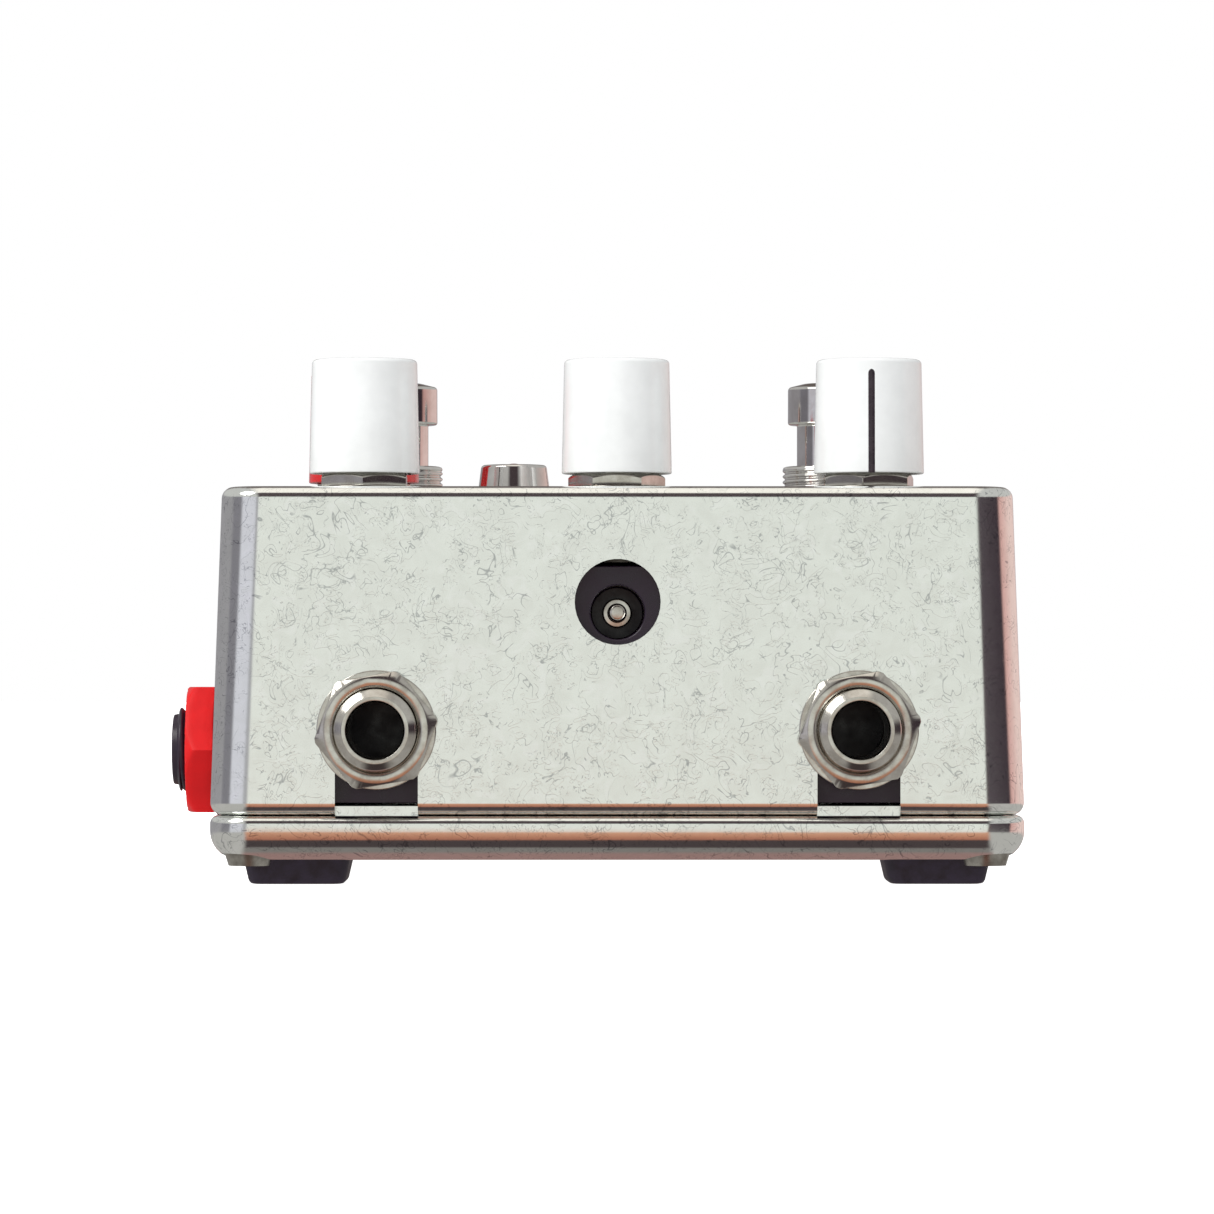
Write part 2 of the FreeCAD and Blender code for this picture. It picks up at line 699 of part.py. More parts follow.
def make_knob(name, radius, at, spin):
    """A knob whose pointer line looks to -Y, turned by the spin in degrees about its shaft."""
    top_radius = f"({radius} - knob_taper)"
    shoulder = "knob_height - knob_edge"
    blank = turned(
        f"{name}_knob_blank",
        [
            ("0", "shaft_depth"),
            ("shaft_radius", "shaft_depth"),
            ("shaft_radius", "knob_recess_depth"),
            ("knob_recess", "knob_recess_depth"),
            ("knob_recess", "0"),
            (radius, "0"),
            (top_radius, shoulder),
            (f"{top_radius} - knob_edge", "knob_height - knob_dome"),
            (f"{top_radius} / 2", "knob_height"),
            ("0", "knob_height"),
        ],
        ("0", "0", "0"), own=True,
    )
    skin = solid(
        "Cone", f"{name}_knob_skin", ("0", "0", "0"), own=True,
        Radius1=radius, Radius2=top_radius, Height=shoulder,
    )
    groove_depth = "2 * pointer_depth"
    groove_y = f"-{top_radius}"
    groove_top = f"{shoulder} - pointer_top_gap"
    bar_at = ("0", groove_y, "0")
    bar = block(f"{name}_pointer_bar", "pointer_width", groove_depth, groove_top, bar_at, own=True)
    end = cylinder(
        f"{name}_pointer_end", "pointer_width / 2", groove_depth,
        ("0", f"{groove_y} + pointer_depth", groove_top), rearward, own=True,
    )
    side_line = common(f"{name}_side_line", join(f"{name}_side_bar", bar, end), skin)
    top_length = f"{top_radius} / 2"
    top_line = block(
        f"{name}_top_line", "pointer_width", top_length, "pointer_depth",
        ("0", f"-{top_length} / 2", "knob_height - pointer_depth"), own=True,
    )
    knob = cut(f"{name}_knob_cut", blank, side_line, top_line)
    pointer = group(f"{name}_pointer", [side_line, top_line])
    turn = FreeCAD.Rotation(FreeCAD.Vector(0, 0, 1), spin)
    node(f"{name}_knob", place(knob, at, turn))
    node(f"{name}_knob_pointer", place(pointer, at, turn))


# name, place, height and radius of the knob, turn of its pointer, turn of the nut
pots = [
    ("left", "-knob_spacing", "knob_y", "knob_z", "knob_radius", 120, 30),
    ("middle", "0", "knob_y", "knob_z", "knob_radius", 150, 0),
    ("right", "knob_spacing", "knob_y", "knob_z", "knob_radius", 0, 20),
    ("red", "-red_knob_x", "red_knob_y", "red_knob_z", "red_knob_radius", -120, 10),
]
pot_nuts = []
pot_washers = []
terminals = []
for name, x, y, z, radius, spin, nut_turn in pots:
    shell = block(f"{name}_pot_shell", "pot_width", "pot_length", "pot_height", (x, y, "board_top"))
    sleeve_height = "panel_wall + pot_bushing_reach"
    sleeve = cylinder(f"{name}_pot_sleeve", "pot_bushing", sleeve_height, (x, y, "panel_inside"))
    way_z = "board_top + shaft_floor"
    way_height = "pot_height + panel_wall + pot_bushing_reach"
    way = cylinder(f"{name}_pot_way", "shaft_radius + fit_gap / 2", way_height, (x, y, way_z))
    node(f"{name}_pot_body", cut(f"{name}_pot", join(f"{name}_pot_solid", shell, sleeve), way))
    shaft_z = f"{way_z} + shaft_end_gap"
    shaft_height = f"{z} + shaft_depth - ({shaft_z})"
    node(f"{name}_pot_shaft", cylinder(f"{name}_shaft", "shaft_radius", shaft_height, (x, y, shaft_z)))
    make_knob(name, radius, (x, y, z), spin)
    at = (x, y, "panel_z")
    pot_washers.append(ring(f"{name}_pot_washer", "pot_washer_radius", "pot_bushing", "pot_washer_height", at))
    at = (x, y, "panel_z + pot_washer_height")
    pot_nuts.append(
        hex_nut(f"{name}_pot_nut", "pot_nut_flats", "pot_nut_height", "pot_bushing", at, upright, nut_turn)
    )
    for index, shift in enumerate(("-terminal_gap", "0", "terminal_gap")):
        at = (f"{x} + ({shift})", f"{y} + (pot_length + terminal_depth) / 2", "board_top")
        size = ("terminal_width", "terminal_depth", "terminal_height")
        terminals.append(block(f"{name}_terminal_{index}", *size, at))
node("pot_nuts", group("all_pot_nuts", pot_nuts))
node("pot_washers", group("all_pot_washers", pot_washers))
node("pot_terminals", group("all_terminals", terminals))

# ---- lamp in its metal bezel ----

bezel = turned(
    "bezel_turned",
    [
        ("bezel_bore", "-panel_wall - bezel_thread"),
        ("bezel_stem", "-panel_wall - bezel_thread"),
        ("bezel_stem", "0"),
        ("bezel_base", "0"),
        ("bezel_top", "bezel_height"),
        ("bezel_top - 0.7", "bezel_height"),
        ("bezel_bore", "bezel_height - 1.5"),
    ],
    ("-lamp_x", "lamp_y", "panel_z"),
)
node("lamp_bezel", bezel)
lamp_z = "panel_z - lamp_body_depth"
lamp_body = cylinder("lamp_body", "lamp_radius", "lamp_body_height", ("-lamp_x", "lamp_y", lamp_z))
dome_at = ("-lamp_x", "lamp_y", f"{lamp_z} + lamp_body_height")
lamp_dome = solid("Sphere", "lamp_dome", dome_at, Radius="lamp_radius")
lamp_dome.Angle1 = 0
lamp_legs = [
    cylinder(
        f"lamp_leg_{index}", "lamp_leg_radius", f"{lamp_z} - board_top",
        (f"-lamp_x {sign} lamp_leg_gap / 2", "lamp_y", "board_top"),
    )
    for index, sign in enumerate("-+")
]
node("lamp", join("lamp_solid", lamp_body, lamp_dome, *lamp_legs))
at = ("-lamp_x", "lamp_y", "panel_inside - bezel_nut_height")
node("lamp_bezel_nut", hex_nut("bezel_nut", "bezel_nut_flats", "bezel_nut_height", "bezel_stem", at))

# ---- footswitches ----

switch_nuts = []
switch_washers = []
switch_lugs = []
for name, sign in (("left", "-"), ("right", "")):
    x = f"{sign}switch_x"
    shell = block(
        f"{name}_switch_shell", "switch_box", "switch_box", "switch_box_height",
        (x, "switch_y", "switch_box_bottom"),
    )
    way = cylinder(
        f"{name}_switch_way", "switch_bore", "switch_box_height", (x, "switch_y", "spring_seat")
    )
    node(f"{name}_switch_body", cut(f"{name}_switch", shell, way))
    sleeve_height = "switch_under + panel_wall + switch_reach"
    at = (x, "switch_y", "switch_box_top")
    node(
        f"{name}_switch_bushing",
        ring(f"{name}_switch_sleeve", "switch_bushing", "switch_bore", sleeve_height, at),
    )
    head_z = "panel_z + switch_reach + switch_neck_length"
    plunger = turned(
        f"{name}_plunger_turned",
        [
            ("0", f"neck_bottom - ({head_z})"),
            ("switch_neck", f"neck_bottom - ({head_z})"),
            ("switch_neck", "0"),
            ("switch_head", "0"),
            ("switch_head", "switch_head_height - 1.2"),
            ("switch_head - 1.2", "switch_head_height - 0.3"),
            ("switch_head - 3.2", "switch_head_height"),
            ("0", "switch_head_height"),
        ],
        (x, "switch_y", head_z),
    )
    node(f"{name}_switch_plunger", plunger)
    coil_height = "neck_bottom - spring_seat - 2 * spring_wire - 2 * fit_gap"
    at = (x, "switch_y", "spring_seat + spring_wire + fit_gap")
    helix = solid(
        "Helix", f"{name}_spring_line", at, Radius="spring_radius", Height=coil_height,
        Pitch=f"({coil_height}) / spring_turns",
    )
    wire = doc.addObject("Part::Circle", f"{name}_spring_section")
    wire.setExpression("Radius", bound("spring_wire"))
    place(wire, (f"{x} + spring_radius", "switch_y", at[2]), rearward)
    coil = doc.addObject("Part::Sweep", f"{name}_spring_coil")
    coil.Sections = [wire]
    coil.Spine = helix
    coil.Solid = True
    coil.Frenet = True
    node(f"{name}_switch_spring", coil)
    for label, washer_z, nut_z in (
        ("top", "panel_z", "panel_z + switch_washer_height"),
        ("lock", "panel_inside - switch_washer_height", "switch_box_top"),
    ):
        at = (x, "switch_y", washer_z)
        switch_washers.append(
            ring(f"{name}_{label}_washer", "switch_washer_radius", "switch_bushing", "switch_washer_height", at)
        )
        at = (x, "switch_y", nut_z)
        switch_nuts.append(
            hex_nut(f"{name}_{label}_nut", "switch_nut_flats", "switch_nut_height", "switch_bushing", at)
        )
    for row_number in (-1, 0, 1):
        for column in (-1, 0, 1):
            at = (f"{x} + {column} * lug_gap_x", f"switch_y + {row_number} * lug_gap_y", "switch_board_top")
            label = f"{name}_lug_{row_number + 1}_{column + 1}"
            switch_lugs.append(block(label, "lug_width", "lug_thickness", "lug_length", at))
node("footswitch_nuts", group("switch_nut_set", switch_nuts))
node("footswitch_washers", group("switch_washer_set", switch_washers))
node("footswitch_lugs", group("switch_lug_set", switch_lugs))

# ---- circuit boards and what they carry ----

board = new_body("board", ("0", "0", "board_bottom"))
board_back = "rear_inside + fit_gap + 0.9"
inlet_half = "inlet_box_width / 2 + 1"
inlet_end = "rear_inside + inlet_gap + inlet_box_length + 1.5"
edge = [
    ("-board_width / 2", board_back),
    (f"-({inlet_half})", board_back),
    (f"-({inlet_half})", inlet_end),
    (inlet_half, inlet_end),
    (inlet_half, board_back),
    ("board_width / 2", board_back),
    ("board_width / 2", "board_front - half_length"),
    ("-board_width / 2", "board_front - half_length"),
]
feature(board, "Pad", outline(sketch_on(board, "XY_Plane"), edge), "board_height")
node("main_circuit_board", board)
power_y = "rear_inside + 0.5 + power_board_length / 2"
at = ("0", power_y, "power_board_top - board_height")
node(
    "power_circuit_board",
    block("power_board", "power_board_width", "power_board_length", "board_height", at),
)
at = ("0", "rear_inside + power_board_length - 1.5", "power_board_top")
connector_height = "board_bottom - power_board_top"
node("board_connector", block("connector", "connector_width", "connector_depth", connector_height, at))
at = ("0", "switch_y", "switch_board_top - board_height")
node("footswitch_board", block("switch_board", "board_width", "switch_board_length", "board_height", at))

ribbon = new_body("ribbon")
front = "board_front - half_length"
path = [
    (f"{front} - 5", "board_bottom"),
    (f"{front} - 5", "board_bottom - ribbon_height"),
    (f"{front} + 1", "board_bottom - ribbon_height"),
    (f"{front} + 1", "switch_board_top"),
    ("switch_y - 8", "switch_board_top"),
    ("switch_y - 8", "switch_board_top + ribbon_height"),
    (f"{front} + 1 + ribbon_height", "switch_board_top + ribbon_height"),
    (f"{front} + 1 + ribbon_height", "board_bottom"),
]
feature(ribbon, "Pad", outline(sketch_on(ribbon, "YZ_Plane"), path), "ribbon_width", symmetric=True)
node("ribbon_cable", ribbon)


def hanging(name, width, depth, height, spots):
    """Square components that hang from the underside of the main board."""
    return group(name, [
        block(f"{name}_{index}", width, depth, height, (str(x), str(y), f"board_bottom - ({height})"))
        for index, (x, y) in enumerate(spots)
    ])


chip_spots = [(-2, -24), (18, -24), (-2, -8), (18, -8)]
film_spots = [(x, y) for y in (-16, 0, 6) for x in (-4, 4, 12, 20)]
node("integrated_circuits", hanging("chips", "chip_width", "chip_depth", "chip_height", chip_spots))
node("film_capacitors", hanging("films", "film_width", "film_depth", "film_height", film_spots))
cans = [
    cylinder(f"can_{index}", "can_radius", "can_height", (str(x), str(y), "board_bottom - can_height"))
    for index, (x, y) in enumerate((x, y) for x in (-14, 30) for y in (-24, -15, -6, 3))
]
node("electrolytic_capacitors", group("can_set", cans))
rods = [
    cylinder(
        f"resistor_{index}", "resistor_radius", "resistor_length",
        (str(x), str(y), "board_bottom - resistor_radius"), rearward,
    )
    for index, (x, y) in enumerate((x, y) for y in (-12, -1, 10) for x in (-34, -30, -26, -22))
]
node("resistors", group("resistor_set", rods))

# ---- checks and files ----

doc.recompute()
for item in doc.Objects:
    if "Invalid" in item.State or "Error" in item.State:
        raise RuntimeError(f"{item.Name} failed: {item.State}")
os.makedirs("parts", exist_ok=True)
for item in nodes:
    shape = item.Shape
    if shape.isNull() or not shape.isValid() or not shape.Solids:
        raise RuntimeError(f"{item.Label} has no valid solid")
for item in nodes:
    item.Shape.exportStep(os.path.join("parts", item.Label + ".step"))
print(len(nodes), "nodes")
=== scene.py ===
import json
import math

import bmesh
import bpy
import numpy as np
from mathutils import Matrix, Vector

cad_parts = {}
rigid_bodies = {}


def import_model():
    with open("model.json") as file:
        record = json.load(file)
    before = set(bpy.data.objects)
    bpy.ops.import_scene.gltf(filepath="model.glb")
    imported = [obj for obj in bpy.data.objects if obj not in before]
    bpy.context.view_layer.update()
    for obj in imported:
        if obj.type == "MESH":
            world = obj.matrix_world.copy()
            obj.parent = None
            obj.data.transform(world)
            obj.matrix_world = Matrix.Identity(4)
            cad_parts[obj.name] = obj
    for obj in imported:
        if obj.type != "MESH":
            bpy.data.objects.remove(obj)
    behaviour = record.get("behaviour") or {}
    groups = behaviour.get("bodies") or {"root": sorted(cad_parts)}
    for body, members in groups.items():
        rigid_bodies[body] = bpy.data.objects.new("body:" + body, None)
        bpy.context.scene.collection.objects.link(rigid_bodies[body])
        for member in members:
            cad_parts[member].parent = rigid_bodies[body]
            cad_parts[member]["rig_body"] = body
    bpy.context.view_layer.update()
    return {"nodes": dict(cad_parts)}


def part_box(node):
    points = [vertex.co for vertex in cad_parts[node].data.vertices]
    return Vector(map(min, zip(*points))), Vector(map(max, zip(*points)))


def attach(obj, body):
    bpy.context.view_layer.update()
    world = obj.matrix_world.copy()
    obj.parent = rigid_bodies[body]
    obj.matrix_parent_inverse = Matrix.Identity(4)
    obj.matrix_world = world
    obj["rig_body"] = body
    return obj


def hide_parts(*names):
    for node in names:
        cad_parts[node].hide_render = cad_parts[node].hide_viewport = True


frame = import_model()
nodes = frame["nodes"]
scene = bpy.context.scene
mm = 0.001
fullTurn = 2 * math.pi
madeFor = set()  # CAD nodes that a new piece already stands for


# Shapes. Each one is a grid of points, worked out as whole arrays.

def lowCorner(node):
    return np.array(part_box(node)[0]) / mm


def highCorner(node):
    return np.array(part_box(node)[1]) / mm


def middle(node):
    return (lowCorner(node) + highCorner(node)) / 2


# the three ways a turned piece looks: its own x, y and z in the frame
upward = np.eye(3)
rearward = np.array([[1, 0, 0], [0, 0, -1], [0, 1, 0]], float)
leftward = np.array([[0, 0, -1], [-1, 0, 0], [0, 1, 0]], float)


def roundProfile(corners, closed=True, steps=5):
    # corners are (radius, height, rounding): each gives way to an arc that touches both its sides
    spots = np.array([corner[:2] for corner in corners], float)
    parts = []
    for index, corner in enumerate(corners):
        rounding = corner[2] if len(corner) > 2 else 0
        atEnd = not closed and index in (0, len(corners) - 1)
        if rounding == 0 or atEnd:
            parts.append(spots[index][None])
            continue
        back = spots[index - 1] - spots[index]
        on = spots[(index + 1) % len(spots)] - spots[index]
        back = back / np.linalg.norm(back)
        on = on / np.linalg.norm(on)
        half = math.acos(np.clip(back @ on, -1, 1)) / 2
        bisector = (back + on) / np.linalg.norm(back + on)
        centre = spots[index] + bisector * rounding / math.sin(half)
        start = spots[index] + back * rounding / math.tan(half) - centre
        end = spots[index] + on * rounding / math.tan(half) - centre
        sweep = math.atan2(start[0] * end[1] - start[1] * end[0], start @ end)
        angle = np.linspace(0, sweep, steps + 1)
        cosine, sine = np.cos(angle), np.sin(angle)
        arc = np.stack([start[0] * cosine - start[1] * sine, start[0] * sine + start[1] * cosine], 1)
        parts.append(arc + centre)
    return np.concatenate(parts)


def denser(profile, first, last, gap):
    # the run between two heights gets rows no further apart than the gap
    out = []
    for here, there in zip(profile[:-1], profile[1:]):
        out.append(here[None])
        inside = min(here[1], there[1]) >= first - 1e-6 and max(here[1], there[1]) <= last + 1e-6
        count = int(np.linalg.norm(there - here) / gap) if inside else 0
        if count > 1:
            share = np.arange(1, count)[:, None] / count
            out.append(here + (there - here) * share)
    out.append(profile[-1][None])
    return np.concatenate(out)


def lathe(profile, columns, shift=None):
    # a point at (radius + shift) from the axis, at the profile's height, for each angle of a full turn
    angle = np.arange(columns) * fullTurn / columns
    radius = np.repeat(profile[:, :1], columns, 1)
    height = np.repeat(profile[:, 1:2], columns, 1)
    if shift is not None:
        radius = radius + shift(radius, height, angle[None, :])
    return np.stack([radius * np.cos(angle), radius * np.sin(angle), height], 2)


def thread(outer, pitch, depth, first, last, lead=1.0):
    # the crest follows height = pitch times angle over a full turn, and fades out at both ends
    def shift(radius, height, angle):
        phase = (height / pitch - angle / fullTurn) % 1.0
        groove = 0.5 + 0.5 * np.cos(fullTurn * phase)
        groove = groove ** 1.3
        near = np.clip((height - first) / (lead * pitch), 0, 1)
        near = near * np.clip((last - height) / (lead * pitch), 0, 1)
        onWall = np.abs(radius - outer) < 1e-3
        return -depth * groove * near * onWall
    return shift


def wrapped(grid, ring=False):
    # quads between neighbouring rows, with the columns joined round; open ends close on a point
    rows, columns = grid.shape[:2]
    first = grid[0, 0] if not ring and np.ptp(grid[0], axis=0).max() < 1e-9 else None
    last = grid[-1, 0] if not ring and np.ptp(grid[-1], axis=0).max() < 1e-9 else None
    if first is not None:
        grid = grid[1:]
    if last is not None:
        grid = grid[:-1]
    rows = len(grid)
    verts = grid.reshape(-1, 3)
    index = np.arange(rows * columns).reshape(rows, columns)
    beside = np.roll(index, -1, axis=1)
    if ring:
        above, aboveBeside = np.roll(index, -1, axis=0), np.roll(beside, -1, axis=0)
        low, lowBeside = index, beside
    else:
        low, lowBeside, above, aboveBeside = index[:-1], beside[:-1], index[1:], beside[1:]
    quads = np.stack([low, lowBeside, aboveBeside, above], 2).reshape(-1, 4)
    faces = quads.tolist()
    if not ring:
        start = grid[0].mean(0) if first is None else first
        end = grid[-1].mean(0) if last is None else last
        verts = np.concatenate([verts, [start, end]])
        startPole = np.full(columns, rows * columns)
        endPole = startPole + 1
        faces += np.stack([startPole, beside[0], index[0]], 1).tolist()
        faces += np.stack([index[-1], beside[-1], endPole], 1).tolist()
    corners = verts[quads]
    diagonal = np.cross(corners[:, 1] - corners[:, 0], corners[:, 2] - corners[:, 0])
    other = np.cross(corners[:, 2] - corners[:, 0], corners[:, 3] - corners[:, 0])
    centre = verts.mean(0)
    volume = ((corners[:, 0] - centre) * (diagonal + other)).sum()
    if volume < 0:
        faces = [face[::-1] for face in faces]
    return verts, faces


def placed(grid, at, turn=upward, spin=0):
    # the grid turned about its own axis by the spin in degrees, then laid along the way it looks
    angle = math.radians(spin)
    across, along = math.cos(angle), math.sin(angle)
    about = np.array([[across, -along, 0], [along, across, 0], [0, 0, 1]])
    return grid @ (turn @ about).T + np.array(at, float)


def dress(piece, body, material, stands):
    piece.data.materials.clear()
    piece.data.materials.append(material)
    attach(piece, body)
    if stands:
        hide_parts(*stands)
        madeFor.update(stands)
    return piece


def makePiece(name, shells, body, material, stands=(), sharp=35):
    verts, faces = [], []
    for points, polygons in shells:
        offset = sum(len(part) for part in verts)
        verts.append(points)
        faces += [[corner + offset for corner in polygon] for polygon in polygons]
    mesh = bpy.data.meshes.new(name)
    mesh.from_pydata((np.concatenate(verts) * mm).tolist(), [], faces)
    mesh.update()
    mesh.shade_smooth()
    mesh.set_sharp_from_angle(angle=math.radians(sharp))
    piece = bpy.data.objects.new(name, mesh)
    scene.collection.objects.link(piece)
    weights = piece.modifiers.new("evenNormals", "WEIGHTED_NORMAL")
    weights.keep_sharp = True
    return dress(piece, body, material, stands)


def smoothCopy(name, node, material, bevel=0.0, sharp=30):
    # a merged copy of the CAD mesh, shaded smooth over its small angles
    source = nodes[node]
    mesh = source.data.copy()
    mesh.name = name
    work = bmesh.new()
    work.from_mesh(mesh)
    bmesh.ops.remove_doubles(work, verts=work.verts, dist=1e-6)
    if bevel:
        bmesh.ops.dissolve_limit(work, angle_limit=math.radians(0.5), verts=work.verts, edges=work.edges)
    work.to_mesh(mesh)
    work.free()
    if "custom_normal" in mesh.attributes:
        mesh.attributes.remove(mesh.attributes["custom_normal"])
    mesh.shade_smooth()
    mesh.set_sharp_from_angle(angle=math.radians(sharp))
    piece = bpy.data.objects.new(name, mesh)
    scene.collection.objects.link(piece)
    if bevel:
        edge = piece.modifiers.new("softEdges", "BEVEL")
        edge.width = bevel * mm
        edge.segments = 2
        edge.limit_method = "ANGLE"
        edge.angle_limit = math.radians(50)
    weights = piece.modifiers.new("evenNormals", "WEIGHTED_NORMAL")
    weights.keep_sharp = True
    return dress(piece, source["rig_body"], material, [node])


# Finishes. The shared effects are node groups; each material keeps its own shader.

def linear(code):
    channels = np.array([int(code[start:start + 2], 16) for start in (1, 3, 5)]) / 255
    bright = np.where(channels <= 0.04045, channels / 12.92, ((channels + 0.055) / 1.055) ** 2.4)
    return (*bright.tolist(), 1.0)


def groupWith(name, inputs, outputs):
    group = bpy.data.node_groups.new(name, "ShaderNodeTree")
    for label, kind, default in inputs:
        socket = group.interface.new_socket(label, in_out="INPUT", socket_type=kind)
        if default is not None:
            socket.default_value = default
    for label, kind in outputs:
        group.interface.new_socket(label, in_out="OUTPUT", socket_type=kind)
    return group, group.nodes.new("NodeGroupInput"), group.nodes.new("NodeGroupOutput")


def put(tree, kind, values=None, links=None, **settings):
    node = tree.nodes.new(kind)
    for key, value in settings.items():
        setattr(node, key, value)
    for key, value in (values or {}).items():
        node.inputs[key].default_value = value
    for key, source in (links or {}).items():
        tree.links.new(source, node.inputs[key])
    return node


def calculate(tree, operation, first, second=None, third=None, clamp=False):
    node = tree.nodes.new("ShaderNodeMath")
    node.operation = operation
    node.use_clamp = clamp
    for socket, value in zip(node.inputs, (first, second, third)):
        if value is None:
            continue
        if isinstance(value, (int, float)):
            socket.default_value = value
        else:
            tree.links.new(value, socket)
    return node.outputs[0]


def blendColours(tree, factor, first, second):
    node = tree.nodes.new("ShaderNodeMix")
    node.data_type = "RGBA"
    for socket, value in ((node.inputs[0], factor), (node.inputs[6], first), (node.inputs[7], second)):
        if isinstance(value, (int, float, tuple)):
            socket.default_value = value
        else:
            tree.links.new(value, socket)
    return node.outputs[2]


def rampOf(tree, factor, stops, interpolation="LINEAR"):
    node = tree.nodes.new("ShaderNodeValToRGB")
    ramp = node.color_ramp
    ramp.interpolation = interpolation
    while len(ramp.elements) < len(stops):
        ramp.elements.new(0.5)
    for element, (position, colour) in zip(ramp.elements, stops):
        element.position = position
        element.color = colour
    tree.links.new(factor, node.inputs[0])
    return node.outputs[0]


def makeGrain():
    # uneven gloss: a broad noise for smears and a fine one for the skin of the surface
    inputs = [("Vector", "NodeSocketVector", None), ("Scale", "NodeSocketFloat", 400.0),
              ("Low", "NodeSocketFloat", 0.2), ("High", "NodeSocketFloat", 0.4)]
    outputs = [("Roughness", "NodeSocketFloat"), ("Mask", "NodeSocketFloat"), ("Height", "NodeSocketFloat")]
    group, entry, leave = groupWith("surfaceGrain", inputs, outputs)
    broad = put(group, "ShaderNodeTexNoise", {"Detail": 3.0, "Roughness": 0.6},
                {"Vector": entry.outputs["Vector"], "Scale": entry.outputs["Scale"]})
    finer = calculate(group, "MULTIPLY", entry.outputs["Scale"], 6.0)
    fine = put(group, "ShaderNodeTexNoise", {"Detail": 2.0, "Roughness": 0.5},
               {"Vector": entry.outputs["Vector"], "Scale": finer})
    mask = put(group, "ShaderNodeMapRange", {"From Min": 0.35, "From Max": 0.65},
               {"Value": broad.outputs["Fac"]}, clamp=True)
    spread = put(group, "ShaderNodeMapRange", None,
                 {"Value": mask.outputs[0], "To Min": entry.outputs["Low"], "To Max": entry.outputs["High"]})
    group.links.new(spread.outputs[0], leave.inputs["Roughness"])
    group.links.new(mask.outputs[0], leave.inputs["Mask"])
    group.links.new(fine.outputs["Fac"], leave.inputs["Height"])
    return group


def makeVein():
    # hammered lacquer: soft blotches, with hair lines where a warped noise crosses its middle value, and a
    # painted highlight: lighter worm-shaped streaks that stand in for light catching the hammered relief
    inputs = [("Vector", "NodeSocketVector", None), ("Blotch Scale", "NodeSocketFloat", 500.0),
              ("Hair Scale", "NodeSocketFloat", 700.0), ("Hair Width", "NodeSocketFloat", 0.012)]
    outputs = [("Blotch", "NodeSocketFloat"), ("Hair", "NodeSocketFloat"), ("PaintedHighlight", "NodeSocketFloat"),
               ("Height", "NodeSocketFloat")]
    group, entry, leave = groupWith("hammerVein", inputs, outputs)
    blotch = put(group, "ShaderNodeTexNoise", {"Detail": 3.0, "Roughness": 0.55, "Distortion": 0.6},
                 {"Vector": entry.outputs["Vector"], "Scale": entry.outputs["Blotch Scale"]})
    hairs = []
    for number, (stretch, threshold) in enumerate(((1.0, 0.48), (1.7, 0.5), (0.6, 0.5))):
        moved = put(group, "ShaderNodeVectorMath", {1: (0.37 * number, 0.71 * number, 0.13 * number)},
                    {0: entry.outputs["Vector"]}, operation="ADD").outputs[0]
        scale = calculate(group, "MULTIPLY", entry.outputs["Hair Scale"], stretch)
        curl = put(group, "ShaderNodeTexNoise", {"Detail": 1.5, "Roughness": 0.6, "Distortion": 1.6},
                   {"Vector": moved, "Scale": scale})
        away = calculate(group, "ABSOLUTE", calculate(group, "SUBTRACT", curl.outputs["Fac"], 0.5))
        line = put(group, "ShaderNodeMapRange", {"From Min": 0.0, "To Min": 1.0, "To Max": 0.0},
                   {"Value": away, "From Max": entry.outputs["Hair Width"]}, clamp=True)
        patch = put(group, "ShaderNodeTexNoise", {"Detail": 1.0},
                    {"Vector": moved, "Scale": calculate(group, "MULTIPLY", scale, 0.8)})
        shown = put(group, "ShaderNodeMapRange", {"From Min": threshold, "From Max": threshold + 0.05},
                    {"Value": patch.outputs["Fac"]}, clamp=True)
        hairs.append(calculate(group, "MULTIPLY", line.outputs[0], shown.outputs[0]))
    hair = calculate(group, "MAXIMUM", hairs[0], calculate(group, "MAXIMUM", hairs[1], hairs[2]))
    sunk = calculate(group, "MULTIPLY", hair, 0.5)
    group.links.new(blotch.outputs["Fac"], leave.inputs["Blotch"])
    group.links.new(hair, leave.inputs["Hair"])
    # painted highlight: this worm noise marks streaks that the lacquer mixes toward white in its base colour,
    # standing in for light on the relief
    highlightNoise = put(group, "ShaderNodeTexNoise", {"Detail": 1.0, "Roughness": 0.5, "Distortion": 1.2},
               {"Vector": entry.outputs["Vector"], "Scale": entry.outputs["Hair Scale"]})
    paintedHighlight = put(group, "ShaderNodeMapRange", {"From Min": 0.56, "From Max": 0.7},
                {"Value": highlightNoise.outputs["Fac"]}, clamp=True)
    group.links.new(paintedHighlight.outputs[0], leave.inputs["PaintedHighlight"])
    group.links.new(calculate(group, "SUBTRACT", blotch.outputs["Fac"], sunk), leave.inputs["Height"])
    return group


grain = makeGrain()
vein = makeVein()


def startMaterial(name, metallic=0.0, sockets=None):
    material = bpy.data.materials.new(name)
    material.use_nodes = True
    tree = material.node_tree
    shader = tree.nodes["Principled BSDF"]
    shader.inputs["Metallic"].default_value = metallic
    for key, value in (sockets or {}).items():
        shader.inputs[key].default_value = value
    place = tree.nodes.new("ShaderNodeTexCoord").outputs["Object"]
    return material, tree, shader, place


def addBump(tree, shader, height, strength, distance):
    bump = put(tree, "ShaderNodeBump", {"Strength": strength, "Distance": distance * mm}, {"Height": height})
    tree.links.new(bump.outputs[0], shader.inputs["Normal"])


def grainOn(tree, shader, place, scale, low, high, strength, distance):
    node = tree.nodes.new("ShaderNodeGroup")
    node.node_tree = grain
    node.inputs["Scale"].default_value = scale
    node.inputs["Low"].default_value = low
    node.inputs["High"].default_value = high
    tree.links.new(place, node.inputs["Vector"])
    tree.links.new(node.outputs["Roughness"], shader.inputs["Roughness"])
    addBump(tree, shader, node.outputs["Height"], strength, distance)
    return node


